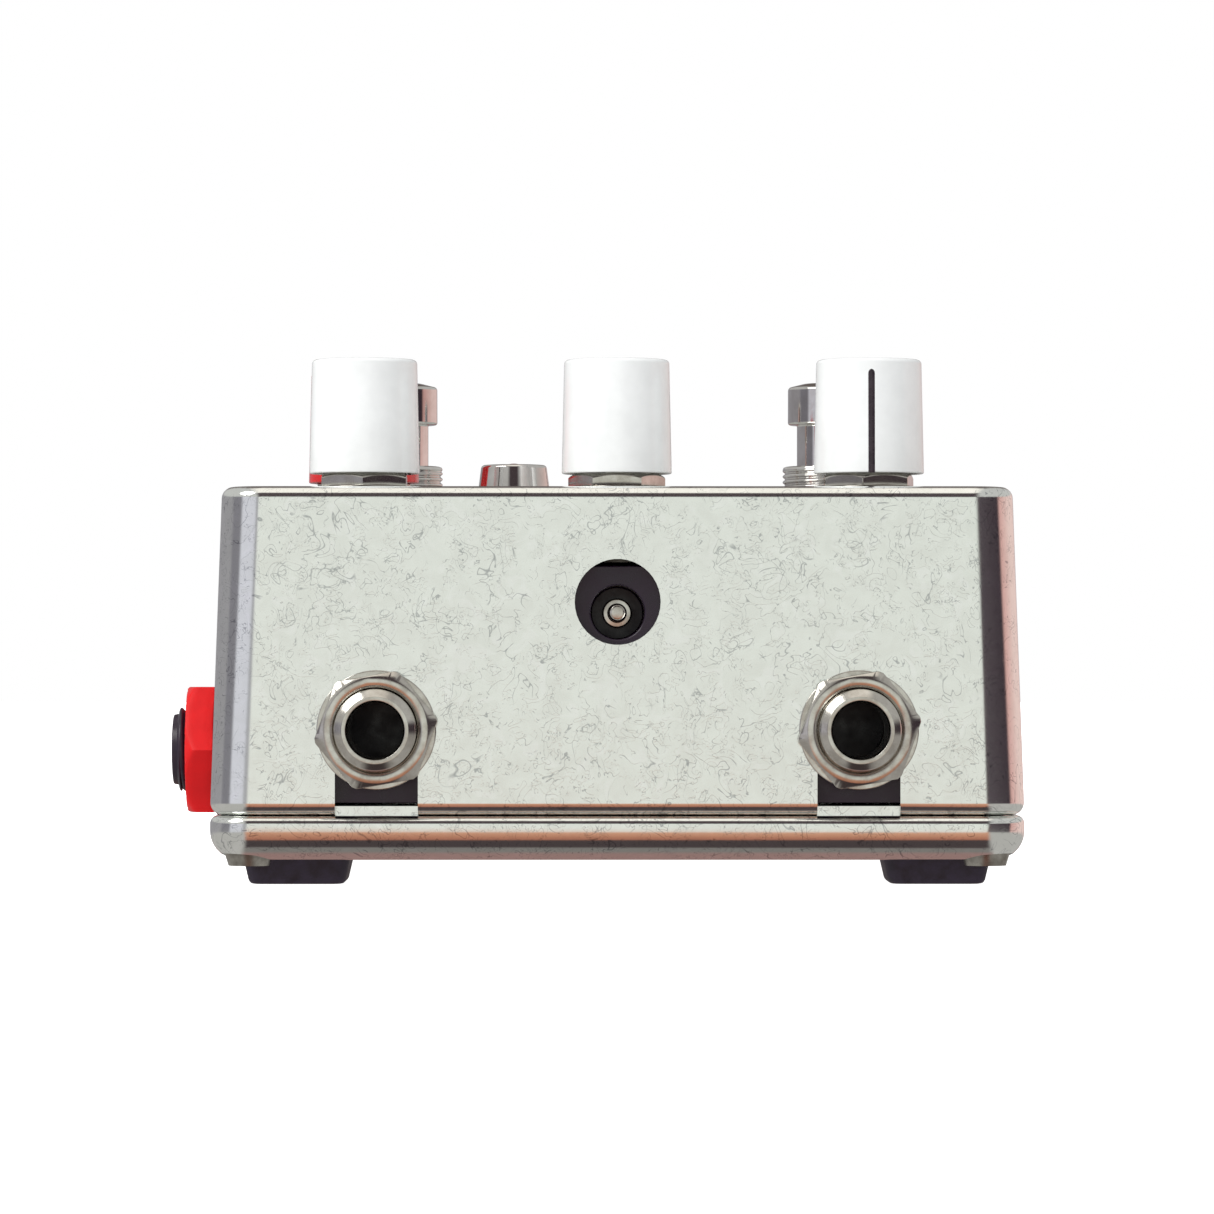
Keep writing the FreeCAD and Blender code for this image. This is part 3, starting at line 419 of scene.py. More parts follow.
def finish(name, colour, tint, low, high, scale=400.0, strength=0.2, distance=0.02, metallic=0.0, **sockets):
    named = {key.replace("_", " "): value for key, value in sockets.items()}
    material, tree, shader, place = startMaterial(name, metallic, named)
    node = grainOn(tree, shader, place, scale, low, high, strength, distance)
    mixed = blendColours(tree, node.outputs["Mask"], linear(colour), linear(tint))
    tree.links.new(mixed, shader.inputs["Base Color"])
    return material


lacquer = {
    "light": "#F6F8F4", "deep": "#F1F3EF", "hair": "#6C7079", "hairStrength": 0.6,
    # the glint colour and strength are a painted highlight laid into the base colour
    "paintedHighlight": "#FFFFFF", "paintedHighlightStrength": 0.35,
    "blotchScale": 380.0, "hairScale": 430.0, "hairWidth": 0.012, "roughness": (0.12, 0.14),
    "metallic": 1.0, "bump": 0.12, "bumpDistance": 0.02,
}


def makeHammerLacquer():
    material, tree, shader, place = startMaterial(
        "hammerLacquer", lacquer["metallic"], {"Coat Weight": 0.35, "Coat Roughness": 0.06})
    node = tree.nodes.new("ShaderNodeGroup")
    node.node_tree = vein
    node.inputs["Blotch Scale"].default_value = lacquer["blotchScale"]
    node.inputs["Hair Scale"].default_value = lacquer["hairScale"]
    node.inputs["Hair Width"].default_value = lacquer["hairWidth"]
    tree.links.new(place, node.inputs["Vector"])
    even = put(tree, "ShaderNodeMapRange", {"From Min": 0.36, "From Max": 0.64},
               {"Value": node.outputs["Blotch"]}, clamp=True).outputs[0]
    paint = blendColours(tree, even, linear(lacquer["deep"]), linear(lacquer["light"]))
    # painted highlight: white streaks mixed into the paint colour
    paintedHighlightShare = calculate(tree, "MULTIPLY", node.outputs["PaintedHighlight"], lacquer["paintedHighlightStrength"])
    paint = blendColours(tree, paintedHighlightShare, paint, linear(lacquer["paintedHighlight"]))
    shown = calculate(tree, "MULTIPLY", node.outputs["Hair"], lacquer["hairStrength"])
    paint = blendColours(tree, shown, paint, linear(lacquer["hair"]))
    tree.links.new(paint, shader.inputs["Base Color"])
    smooth, rough = lacquer["roughness"]
    gloss = put(tree, "ShaderNodeMapRange", {"To Min": rough, "To Max": smooth}, {"Value": even}).outputs[0]
    tree.links.new(gloss, shader.inputs["Roughness"])
    addBump(tree, shader, node.outputs["Height"], lacquer["bump"], lacquer["bumpDistance"])
    return material


hammerLacquer = makeHammerLacquer()
nickel = finish("nickelPlate", "#D6D3CC", "#BDB8B0", 0.10, 0.2, 500.0, 0.08, 0.01, 1.0)
chrome = finish("brightChrome", "#E4E2DF", "#D2CFCB", 0.04, 0.09, 300.0, 0.04, 0.01, 1.0)
steel = finish("zincSteel", "#B9B6AE", "#8E8A82", 0.25, 0.42, 600.0, 0.15, 0.02, 1.0)
potMetal = finish("potCase", "#A9A69C", "#8D8A82", 0.3, 0.45, 350.0, 0.15, 0.02, 1.0)
brass = finish("brassContact", "#C9A65A", "#A9863F", 0.22, 0.38, 500.0, 0.1, 0.02, 1.0)
blackRubber = finish("blackRubber", "#23192A", "#32273A", 0.5, 0.72, 700.0, 0.35, 0.04)
blackPlastic = finish("blackPlastic", "#241729", "#2F2233", 0.26, 0.4, 500.0, 0.15, 0.02)
pointerPaint = finish("pointerPaint", "#2A2028", "#3A2F38", 0.22, 0.34, 500.0, 0.12, 0.02)
whitePlastic = finish("knobWhite", "#F7F9F9", "#F1F3F3", 0.16, 0.26, 260.0, 0.06, 0.015,
                      Coat_Weight=0.3, Coat_Roughness=0.08)
redPlastic = finish("nutRed", "#E4191D", "#DA1519", 0.34, 0.46, 320.0, 0.14, 0.02,
                    Specular_IOR_Level=0.2)
redKnobPlastic = finish("knobRed", "#E0181C", "#D01216", 0.16, 0.26, 260.0, 0.06, 0.015,
                        Coat_Weight=0.3, Coat_Roughness=0.08)
lensPlastic = finish("lampLens", "#B5121A", "#8E0C14", 0.06, 0.14, 300.0, 0.05, 0.01,
                     Transmission_Weight=0.35, IOR=1.49)
wireJacket = finish("wireJacket", "#33363B", "#45484D", 0.35, 0.5, 500.0, 0.15, 0.02)
switchBlue = finish("switchBlue", "#2F67B4", "#2456A0", 0.3, 0.45, 400.0, 0.12, 0.02)
ribbonGrey = finish("ribbonGrey", "#9C9EA0", "#8A8C90", 0.35, 0.5, 400.0, 0.12, 0.02)
filmYellow = finish("filmYellow", "#D9B23A", "#C69B27", 0.2, 0.34, 400.0, 0.1, 0.02)
canBlue = finish("canSleeve", "#24303F", "#1B2532", 0.18, 0.3, 400.0, 0.08, 0.02)
chipBlack = finish("chipBlack", "#221F22", "#2E2A2D", 0.4, 0.55, 800.0, 0.2, 0.02)
print("stage: finishes ready")

# Board with a copper pattern under its green mask, and resistor bands.

def makeBoardMask():
    coat = {"Coat Weight": 0.4, "Coat Roughness": 0.15}
    material, tree, shader, place = startMaterial("boardMask", 0.0, coat)
    grainNode = grainOn(tree, shader, place, 500.0, 0.25, 0.4, 0.1, 0.02)
    lanes = put(tree, "ShaderNodeTexBrick", {"Scale": 110.0, "Mortar Size": 0.03, "Brick Width": 0.9,
                                             "Row Height": 0.16}, {"Vector": place})
    dots = put(tree, "ShaderNodeTexVoronoi", {"Scale": 330.0, "Randomness": 0.35}, {"Vector": place})
    pad = put(tree, "ShaderNodeMapRange", {"From Min": 0.2, "From Max": 0.24, "To Min": 1.0, "To Max": 0.0},
              {"Value": dots.outputs["Distance"]}, clamp=True).outputs[0]
    green = blendColours(tree, lanes.outputs["Fac"], linear("#1E6B3A"), linear("#2F8A50"))
    shade = calculate(tree, "MULTIPLY", grainNode.outputs["Mask"], 0.15)
    green = blendColours(tree, shade, green, linear("#12502A"))
    tree.links.new(blendColours(tree, pad, green, linear("#C8C6B4")), shader.inputs["Base Color"])
    return material


def makeResistorBands(startY):
    # the resistors stand evenly along y, so one strip of bands repeats over all of them
    spacing = 11
    material, tree, shader, place = startMaterial("resistorBands")
    grainOn(tree, shader, place, 400.0, 0.3, 0.45, 0.1, 0.02)
    axis = put(tree, "ShaderNodeSeparateXYZ", None, {"Vector": place}).outputs["Y"]
    along = calculate(tree, "SUBTRACT", axis, startY * mm)
    share = calculate(tree, "FRACT", calculate(tree, "DIVIDE", along, spacing * mm))
    tan = linear("#D9B98C")
    stops = [(0.0, tan), (0.12, linear("#7A3B1E")), (0.18, tan), (0.25, linear("#1F1D1E")), (0.31, tan),
             (0.38, linear("#C9481F")), (0.44, tan), (0.5, linear("#B8923A")), (0.56, tan)]
    tree.links.new(rampOf(tree, share, stops, "CONSTANT"), shader.inputs["Base Color"])
    return material


boardMask = makeBoardMask()
resistorBands = makeResistorBands(lowCorner("resistors")[1])

# The cast box and its cover.
shellAngle = 24
smoothCopy("castBox", "enclosure_body", hammerLacquer, sharp=shellAngle)
smoothCopy("baseTray", "base_cover", hammerLacquer, sharp=shellAngle)
smoothCopy("coverScrews", "cover_screws", steel, sharp=30)

panelZ = float(highCorner("enclosure_body")[2])
rearWallY = float(lowCorner("enclosure_body")[1])
print("stage: box and cover")


feet = {"tip": 11.3, "top": 12.7, "corner": 1.3, "edge": 0.55, "columns": 96}


def roundedSquare(half, corner, columns):
    # a superellipse-like walk: straight sides joined by quarter circles, spaced evenly by angle
    angle = np.arange(columns) * fullTurn / columns
    direction = np.stack([np.cos(angle), np.sin(angle)], 1)
    reach = half - corner
    spot = direction / np.abs(direction).max(1, keepdims=True) * half
    inner = np.clip(spot, -reach, reach)
    out = spot - inner
    length = np.linalg.norm(out, axis=1, keepdims=True)
    return inner + out / np.maximum(length, 1e-9) * corner


def makeFeet():
    low, high = lowCorner("rubber_feet"), highCorner("rubber_feet")
    height = high[2] - low[2]
    offset = feet["top"] / 2
    slope = (feet["top"] - feet["tip"]) / 2
    heights = np.array([0, 0, 0.08, 0.25, 0.55, 0.9, 1.6, 2.4, height - 0.05, height, height])
    inset = np.array([1.6, 0.55, 0.22, 0.08, 0.0, 0, 0, 0, 0, 0.05, 2.0])
    half = feet["tip"] / 2 + slope * heights / height - inset
    rows = [np.column_stack([roundedSquare(size, min(feet["corner"], size * 0.9), feet["columns"]),
                             np.full(feet["columns"], level)]) for size, level in zip(half, heights)]
    grid = np.stack(rows)
    shells = []
    for x in (low[0] + offset, high[0] - offset):
        for y in (low[1] + offset, high[1] - offset):
            shells.append(wrapped(placed(grid, (x, y, low[2]))))
    return makePiece("rubberFeet", shells, "chassis", blackRubber, ["rubber_feet"], 50)


makeFeet()


# Hexagon nuts: the side follows flats / 2 / cosine of the angle from the middle of its flat,
# and above the facet circle the face falls away as a cone, so it cuts the corners only.
def hexNut(flats, height, bore, facet, slope=30, corner=None, lip=0.3, edge=0.12, columns=240, both=False,
           spin=0):
    angle = np.arange(columns) * fullTurn / columns
    fromFlat = (angle - math.radians(spin)) % (fullTurn / 6) - fullTurn / 12
    side = flats / 2 / np.cos(fromFlat)
    tip = corner or flats / 2 / math.cos(fullTurn / 12)
    side = np.minimum(side, tip)
    fall = math.tan(math.radians(slope))

    def face(radius):
        return height - fall * np.maximum(0, radius - facet)

    def under(radius):
        return fall * np.maximum(0, radius - facet) if both else 0 * radius

    steady = np.ones(columns)
    rows = [
        (bore * steady, 0.25 * steady),
        ((bore + 0.25) * steady, 0 * steady),
        (np.minimum(side - 3 * edge, facet), 0 * steady),
        (side - edge, under(side - edge)),
        (side - 0.3 * edge, under(side) + 0.3 * edge),
        (side, under(side) + edge),
        (side, 0.35 * face(side) + 0.65 * (under(side) + edge)),
        (side, 0.75 * face(side) + 0.25 * (under(side) + edge) - edge * 0.5),
        (side, face(side) - edge),
        (side - 0.3 * edge, face(side) - 0.3 * edge),
        (side - edge, face(side - edge)),
        (np.minimum(side - 3 * edge, facet + 0.08), face(np.minimum(side - 3 * edge, facet + 0.08))),
        (np.minimum(side - 4 * edge, facet - 0.05), height * steady),
        ((bore + lip + 0.08) * steady, height * steady),
        ((bore + lip - 0.04) * steady, (height - 0.05) * steady),
        (bore * steady, (height - lip) * steady),
    ]
    radius = np.stack([row[0] for row in rows])
    level = np.stack([row[1] for row in rows])
    return np.stack([radius * np.cos(angle), radius * np.sin(angle), level], 2)


def washer(outer, bore, height, edge=0.12, columns=120):
    corners = [(bore, 0, edge / 2), (outer, 0, edge), (outer, height, edge), (bore, height, edge / 2)]
    return lathe(roundProfile(corners, steps=3), columns)


jacks = {
    "bushing": 4.75, "bore": 3.25, "rim": 3.88, "nose": 0.62, "pitch": 0.79, "threadDepth": 0.32,
    "nutFlats": 12.7, "nutHeight": 2.2, "nutFacet": 6.1, "nutCorner": 7.16,
    "washer": 6.95, "washerHeight": 0.6,
    "spin": {"input": 10, "output": 10},
}


def makeRearJacks():
    nuts, washers = [], []
    for side in ("input", "output"):
        node = f"{side}_jack_bushing"
        low, high = lowCorner(node), highCorner(node)
        x, z = (low[0] + high[0]) / 2, (low[2] + high[2]) / 2
        tip, inner = rearWallY - low[1], rearWallY - high[1]
        outer, bore, rim, nose = jacks["bushing"], jacks["bore"], jacks["rim"], jacks["nose"]
        corners = [
            (bore, inner, 0.2), (outer, inner, 0.3), (outer, tip - nose, 0.15),
            (outer - 0.15, tip - 0.42, 0.1), (rim + 0.07, tip - 0.05, 0.05), (rim, tip, 0.04),
            (bore + 0.2, tip, 0.08), (bore, tip - 0.35, 0.2),
        ]
        profile = roundProfile(corners, steps=6)
        profile = denser(np.concatenate([profile, profile[:1]]), inner + 0.3, tip - nose, 0.07)[:-1]
        shape = thread(outer, jacks["pitch"], jacks["threadDepth"], inner + 0.3, tip - nose - 0.15)
        shell = wrapped(placed(lathe(profile, 144, shape), (x, rearWallY, z), rearward), ring=True)
        makePiece(f"{side}JackBushing", [shell], "chassis", nickel, [node], 40)
        at = (x, rearWallY, z)
        ring = washer(jacks["washer"], outer, jacks["washerHeight"])
        washers.append(wrapped(placed(ring, at, rearward), True))
        at = (x, rearWallY - jacks["washerHeight"], z)
        nut = hexNut(jacks["nutFlats"], jacks["nutHeight"], outer, jacks["nutFacet"], 24, jacks["nutCorner"],
                     0.28, 0.07, spin=jacks["spin"][side])
        nuts.append(wrapped(placed(nut, at, rearward), True))
    makePiece("jackNuts", nuts, "chassis", nickel, ["jack_nuts"], 25)
    makePiece("jackWashers", washers, "chassis", nickel, ["jack_washers"], 40)


makeRearJacks()
print("stage: rear jacks")

sideJack = {
    "bushing": 5.2, "rim": 4.3, "rimLength": 0.75, "bore": 3.2, "pitch": 1.6, "threadDepth": 0.55,
    "nutFlats": 15.4, "nutHeight": 3.5, "nutFacet": 7.75, "nutSlope": 42, "washer": 8.2, "washerHeight": 1.5,
    "tuck": 0.6,
}


def makeSideJack():
    low = lowCorner("side_jack_housing")
    ringLow, ringHigh = lowCorner("side_jack_washer"), highCorner("side_jack_washer")
    wallX = ringHigh[0]
    y, z = (ringLow[1] + ringHigh[1]) / 2, (ringLow[2] + ringHigh[2]) / 2
    tip = wallX - low[0]
    outer, rim, bore = sideJack["bushing"], sideJack["rim"], sideJack["bore"]
    inner = -1.5
    corners = [
        (bore, inner, 0.1), (outer, inner, 0.1), (outer, tip - sideJack["rimLength"], 0.35),
        (rim + 0.1, tip - sideJack["rimLength"], 0.2), (rim, tip, 0.25), (bore + 0.4, tip, 0.2),
        (bore, tip - 0.5, 0.3),
    ]
    profile = roundProfile(corners, steps=5)
    crestTop = tip - sideJack["rimLength"]
    profile = denser(np.concatenate([profile, profile[:1]]), inner + 0.1, crestTop, 0.09)[:-1]
    shape = thread(outer, sideJack["pitch"], sideJack["threadDepth"], inner, crestTop + 0.4, 0.4)
    tube = wrapped(placed(lathe(profile, 144, shape), (wallX, y, z), leftward), ring=True)
    makePiece("sideJackSleeve", [tube], "chassis", blackPlastic, (), 40)

    # the moulded body behind the wall: the CAD tube is drawn in, so that the sleeve stands round it
    body = smoothCopy("sideJackBody", "side_jack_housing", blackPlastic)
    spots = np.zeros(len(body.data.vertices) * 3)
    body.data.vertices.foreach_get("co", spots)
    spots = spots.reshape(-1, 3) / mm
    across = spots[:, 1:] - np.array([y, z])
    radius = np.linalg.norm(across, axis=1)
    onTube = (radius > outer - 0.1) & (radius < outer + 0.1) & (spots[:, 0] < wallX + 1)
    spots[onTube, 1:] = np.array([y, z]) + across[onTube] * ((rim - 0.4) / radius[onTube])[:, None]
    atTip = spots[:, 0] < low[0] + 0.1
    spots[atTip, 0] += sideJack["tuck"]
    body.data.vertices.foreach_set("co", (spots * mm).ravel())
    body.data.update()

    at = (wallX, y, z)
    ring = washer(sideJack["washer"], outer, sideJack["washerHeight"], 0.25)
    makePiece("sideJackWasher", [wrapped(placed(ring, at, leftward), True)], "chassis",
              blackPlastic, ["side_jack_washer"], 40)
    nut = hexNut(sideJack["nutFlats"], sideJack["nutHeight"], outer, sideJack["nutFacet"],
                 sideJack["nutSlope"], None, 0.4, 0.22, 240)
    at = (wallX - sideJack["washerHeight"], y, z)
    makePiece("sideJackNut", [wrapped(placed(nut, at, leftward), True)], "chassis", redPlastic,
              ["side_jack_nut"], 25)


makeSideJack()
smoothCopy("inletHousing", "power_inlet_housing", blackPlastic, bevel=0.18)

inlet = {"pin": 1.05, "tipRound": 0.4, "flange": 1.75, "flangeHeight": 1.2, "flangeRound": 0.2,
         "reach": 8.7, "root": 3.0}


def makeInletContacts():
    # the lugs stay as the CAD has them; the centre pin and its flange are turned anew
    copy = smoothCopy("inletLugs", "power_inlet_contacts", nickel)
    low, high = lowCorner("power_inlet_contacts"), highCorner("power_inlet_contacts")
    x = (low[0] + high[0]) / 2
    floorY = low[1] + inlet["reach"]
    work = bmesh.new()
    work.from_mesh(copy.data)
    spare = [vert for vert in work.verts if vert.co.y / mm < floorY + inlet["root"] + 0.05]
    bmesh.ops.delete(work, geom=spare, context="VERTS")
    work.to_mesh(copy.data)
    work.free()
    flange, thick, pin = inlet["flange"], inlet["flangeHeight"], inlet["pin"]
    corners = [
        (0, -inlet["root"]), (pin, -inlet["root"], 0.1), (pin, 0, 0.02), (flange, 0, 0.02),
        (flange, thick, inlet["flangeRound"]), (pin, thick, 0.12), (pin, inlet["reach"], inlet["tipRound"]),
        (0, inlet["reach"]),
    ]
    profile = roundProfile(corners, closed=False, steps=6)
    at = (x, floorY, high[2] - flange)
    shell = wrapped(placed(lathe(profile, 96), at, rearward))
    return makePiece("inletPin", [shell], "chassis", nickel)


makeInletContacts()
print("stage: side jack and power inlet")

knobs = {
    "left": {"turn": 120, "paint": whitePlastic, "slot": "white_plastic"},
    "middle": {"turn": 150, "paint": whitePlastic, "slot": "white_plastic"},
    "right": {"turn": 0, "paint": whitePlastic, "slot": "white_plastic"},
    "red": {"turn": -120, "paint": redKnobPlastic, "slot": "red_plastic"},
}
knobShape = {
    "flutes": 60, "fluteDepth": 0.2, "samples": 8, "taper": 0.3, "edge": 0.5, "dome": 0.15, "recess": 6.05,
    "recessDepth": 1.0, "shaft": 3.0, "shaftDepth": 9.0, "clear": (5.0, 8.0),
    "lineWidth": 1.04, "lineProud": 0.07, "lineTopGap": 0.9,
}


def makeKnob(name):
    # a turned profile whose wall is scalloped by a raised cosine of the angle, fading out at both rims
    low, high = lowCorner(f"{name}_knob"), highCorner(f"{name}_knob")
    # the knob's box is its rim circle
    x, y = (low[0] + high[0]) / 2, (low[1] + high[1]) / 2
    rim = (high[0] - low[0]) / 2
    tall = high[2] - low[2]
    top = rim - knobShape["taper"]
    edge = knobShape["edge"]
    corners = [
        (0, knobShape["shaftDepth"]), (knobShape["shaft"], knobShape["shaftDepth"]),
        (knobShape["shaft"], knobShape["recessDepth"], 0.15),
        (knobShape["recess"], knobShape["recessDepth"], 0.3), (knobShape["recess"], 0, 0.12), (rim, 0, 0.2),
        (top, tall - knobShape["dome"] * 0.3, edge), (top / 2, tall, 3.0), (0, tall),
    ]
    profile = roundProfile(corners, closed=False, steps=7)
    profile = denser(profile, 0.2, tall - edge - 0.05, 0.9)
    columns = knobShape["flutes"] * knobShape["samples"]

    def flutes(radius, height, angle):
        scallop = (0.5 - 0.5 * np.cos(angle * knobShape["flutes"])) ** 0.8
        rise = np.clip((height - 0.25) / 0.5, 0, 1) * np.clip((tall - 0.75 - height) / 0.7, 0, 1)
        fromLine = np.abs((angle + math.pi / 2 + math.pi) % fullTurn - math.pi) * 180 / math.pi
        start, end = knobShape["clear"]
        away = np.clip((fromLine - start) / (end - start), 0, 1)
        outside = (radius > rim - knobShape["taper"] - edge) & (radius > knobShape["recess"] + 0.1)
        outside = outside & (height > 0.05)
        return -knobShape["fluteDepth"] * scallop * rise * away * outside

    shell = wrapped(placed(lathe(profile, columns, flutes), (x, y, low[2]), upward, knobs[name]["turn"]))
    return makePiece(f"{name}Knob", [shell], f"{name}_knob_group", knobs[name]["paint"],
                     [f"{name}_knob"], 40)


def makePointer(name):
    low, high = lowCorner(f"{name}_knob"), highCorner(f"{name}_knob")
    x, y = (low[0] + high[0]) / 2, (low[1] + high[1]) / 2
    rim, tall = (high[0] - low[0]) / 2, high[2] - low[2]
    half, proud = knobShape["lineWidth"] / 2, knobShape["lineProud"]
    angle = np.arange(20) * fullTurn / 20
    across = np.sign(np.cos(angle)) * np.abs(np.cos(angle)) ** 0.6
    rise = np.sin(angle)
    top = tall - knobShape["edge"] - knobShape["lineTopGap"]
    quarter = np.linspace(0, math.pi / 2, 9)
    ends = 1 - np.cos(quarter)

    # side line: runs up the wall from the lower rim and ends in a half circle
    rounding = top - half + half * np.sin(quarter)[1:]
    share = np.concatenate([[0.0, 0.15], np.linspace(1.0, top - half, 10), rounding])
    width = np.concatenate([[half * 0.8, half], np.full(10, half), half * np.cos(quarter)[1:]])
    width = np.maximum(width, 1e-3)
    sideways = width[:, None] * across
    wall = rim - knobShape["taper"] * share / tall
    out = wall[:, None] - 0.25 + (0.25 + proud * np.minimum(1, width / half * 1.4)[:, None]) * rise
    depth = np.sqrt(np.maximum(out ** 2 - sideways ** 2, 0))
    side = np.stack([sideways, -depth, np.repeat(share[:, None], 20, 1)], 2)

    # top line: from the centre to half the radius, with round ends
    reach = (rim - knobShape["taper"]) / 2
    run = np.concatenate([half * ends, np.linspace(half, reach - half, 5)[1:-1], reach - half * ends[::-1]])
    span = np.concatenate([half * np.sin(quarter), np.full(3, half), half * np.sin(quarter)[::-1]])
    span = np.maximum(span, 1e-3)
    level = tall - 0.25 + (0.25 + proud * 0.6 * np.minimum(1, span / half * 1.4)[:, None]) * rise
    flat = np.stack([span[:, None] * across, -np.repeat(run[:, None], 20, 1), level], 2)
    shells = [wrapped(placed(part, (x, y, low[2]), upward, knobs[name]["turn"])) for part in (side, flat)]
    return makePiece(f"{name}Pointer", shells, f"{name}_knob_group", pointerPaint,
                     [f"{name}_knob_pointer"], 50)


for name in knobs:
    makeKnob(name)
    makePointer(name)
    smoothCopy(f"{name}Shaft", f"{name}_pot_shaft", potMetal)
    smoothCopy(f"{name}PotBody", f"{name}_pot_body", potMetal, bevel=0.2)
print("stage: knobs and pots")

pots = {"nutFlats": 10.0, "nutHeight": 1.6, "nutFacet": 4.85, "washer": 5.4, "washerHeight": 0.4, "bore": 3.5,
        "spin": {"left": 30, "middle": 0, "right": 20, "red": 10}}


def makePotNuts():
    nuts, washers = [], []
    for name in knobs:
        x, y, _ = middle(f"{name}_knob")
        x, y = float(x), float(y)
        at = (x, y, panelZ)
        ring = washer(pots["washer"], pots["bore"], pots["washerHeight"], 0.08)
        washers.append(wrapped(placed(ring, at), True))
        nut = hexNut(pots["nutFlats"], pots["nutHeight"], pots["bore"], pots["nutFacet"],
                     spin=pots["spin"][name])
        nuts.append(wrapped(placed(nut, (x, y, panelZ + pots["washerHeight"])), True))
    makePiece("potNuts", nuts, "chassis", nickel, ["pot_nuts"], 25)
    makePiece("potWashers", washers, "chassis", nickel, ["pot_washers"], 40)


makePotNuts()

lampParts = {
    "stem": 3.4, "base": 4.4, "top": 3.95, "height": 3.5, "bore": 2.6, "lamp": 2.5, "foot": -3.8,
    "spring": 1.2, "leg": 0.3, "gap": 1.27,
}


def makeLamp():
    low, high = lowCorner("lamp_bezel"), highCorner("lamp_bezel")
    x, y = (low[0] + high[0]) / 2, (low[1] + high[1]) / 2
    under = low[2] - panelZ
    base, top, tall, bore, stem = (lampParts[key] for key in ("base", "top", "height", "bore", "stem"))
    corners = [
        (bore, under, 0.1), (stem, under, 0.15), (stem, 0, 0.1), (base, 0, 0.12), (base - 0.06, 0.5, 0.2),
        (top, tall, 0.45), (top - 0.75, tall, 0.25), (bore, tall - 1.5, 0.3),
    ]
    shell = wrapped(placed(lathe(roundProfile(corners, steps=7), 120), (x, y, panelZ)), ring=True)
    makePiece("lampBezel", [shell], "chassis", chrome, ["lamp_bezel"], 40)
    lampHigh, lampLow = highCorner("lamp")[2], lowCorner("lamp")[2]
    radius = lampParts["lamp"]
    foot, spring = lampParts["foot"], lampParts["spring"]
    lift = np.linspace(0, math.pi / 2, 14)
    dome = np.column_stack([radius * np.cos(lift), spring + (lampHigh - panelZ - spring) * np.sin(lift)])
    dome[-1, 0] = 0
    profile = np.concatenate([[[0, foot], [radius - 0.2, foot], [radius, foot + 0.2]], dome])
    shells = [wrapped(placed(lathe(profile, 72), (x, y, panelZ)))]
    legEnd, thick = lampLow - panelZ, lampParts["leg"]
    leg = np.array([[0, legEnd], [thick, legEnd], [thick, foot], [0, foot]])
    for shift in (-lampParts["gap"], lampParts["gap"]):
        shells.append(wrapped(placed(lathe(leg, 16), (x + shift, y, panelZ))))
    makePiece("lampLens", shells, "chassis", lensPlastic, ["lamp"], 40)
    smoothCopy("lampNut", "lamp_bezel_nut", nickel)


makeLamp()

switches = {
    "bushing": 6.0, "bore": 4.15, "pitch": 0.75, "threadDepth": 0.3,
    "neck": 4.1, "head": 5.3, "headHeight": 5.5,
    "nutFlats": 14.0, "nutHeight": 2.0, "nutFacet": 6.8, "washer": 8.2, "washerHeight": 0.6,
}


def makeSwitches():
    nuts, washers = [], []
    outer, bore = switches["bushing"], switches["bore"]
    for side in ("left", "right"):
        node = f"{side}_switch_bushing"
        low, high = lowCorner(node), highCorner(node)
        x, y = (low[0] + high[0]) / 2, (low[1] + high[1]) / 2
        tall = high[2] - low[2]
        corners = [
            (bore, 0, 0.1), (outer, 0, 0.2), (outer, tall - 0.42, 0.0), (outer - 0.12, tall - 0.12, 0.1),
            (outer - 0.45, tall, 0.2), (bore + 0.35, tall, 0.15), (bore, tall - 0.35, 0.2),
        ]
        profile = roundProfile(corners, steps=5)
        profile = denser(np.concatenate([profile, profile[:1]]), 0.2, tall - 0.42, 0.07)[:-1]
        shape = thread(outer, switches["pitch"], switches["threadDepth"], 0.2, tall - 0.4, 0.5)
        shell = wrapped(placed(lathe(profile, 144, shape), (x, y, low[2])), ring=True)
        makePiece(f"{side}SwitchBushing", [shell], "chassis", chrome, [node], 40)

        plunger = f"{side}_switch_plunger"
        foot, crown = lowCorner(plunger)[2], highCorner(plunger)[2]
        neckTop = crown - switches["headHeight"]
        neck, head = switches["neck"], switches["head"]
        corners = [
            (0, foot), (neck, foot, 0.3), (neck, neckTop, 0.25), (head, neckTop, 0.35),
            (head - 0.02, crown - 0.55, 0.5), (head - 2.2, crown, 2.6), (0, crown),
        ]
        profile = roundProfile(corners, closed=False, steps=9)
        profile = denser(profile, crown - 0.2, crown + 0.1, 0.6)
        shell = wrapped(placed(lathe(profile, 144), (x, y, 0)))
        makePiece(f"{side}Plunger", [shell], f"{side}_footswitch", chrome, [plunger], 50)
        bottom = low[2]
        for washerZ, nutZ in ((panelZ, panelZ + switches["washerHeight"]),
                              (bottom + switches["nutHeight"], bottom)):
            ring = washer(switches["washer"], outer, switches["washerHeight"], 0.12)
            washers.append(wrapped(placed(ring, (x, y, washerZ)), True))
            nut = hexNut(switches["nutFlats"], switches["nutHeight"], outer, switches["nutFacet"], both=True)
            nuts.append(wrapped(placed(nut, (x, y, nutZ)), True))
        smoothCopy(f"{side}SwitchBody", f"{side}_switch_body", switchBlue, bevel=0.25)
        smoothCopy(f"{side}SwitchSpring", f"{side}_switch_spring", steel, sharp=60)
    makePiece("footswitchNuts", nuts, "chassis", chrome, ["footswitch_nuts"], 25)
    makePiece("footswitchWashers", washers, "chassis", chrome, ["footswitch_washers"], 40)


makeSwitches()
print("stage: lamp and footswitches")

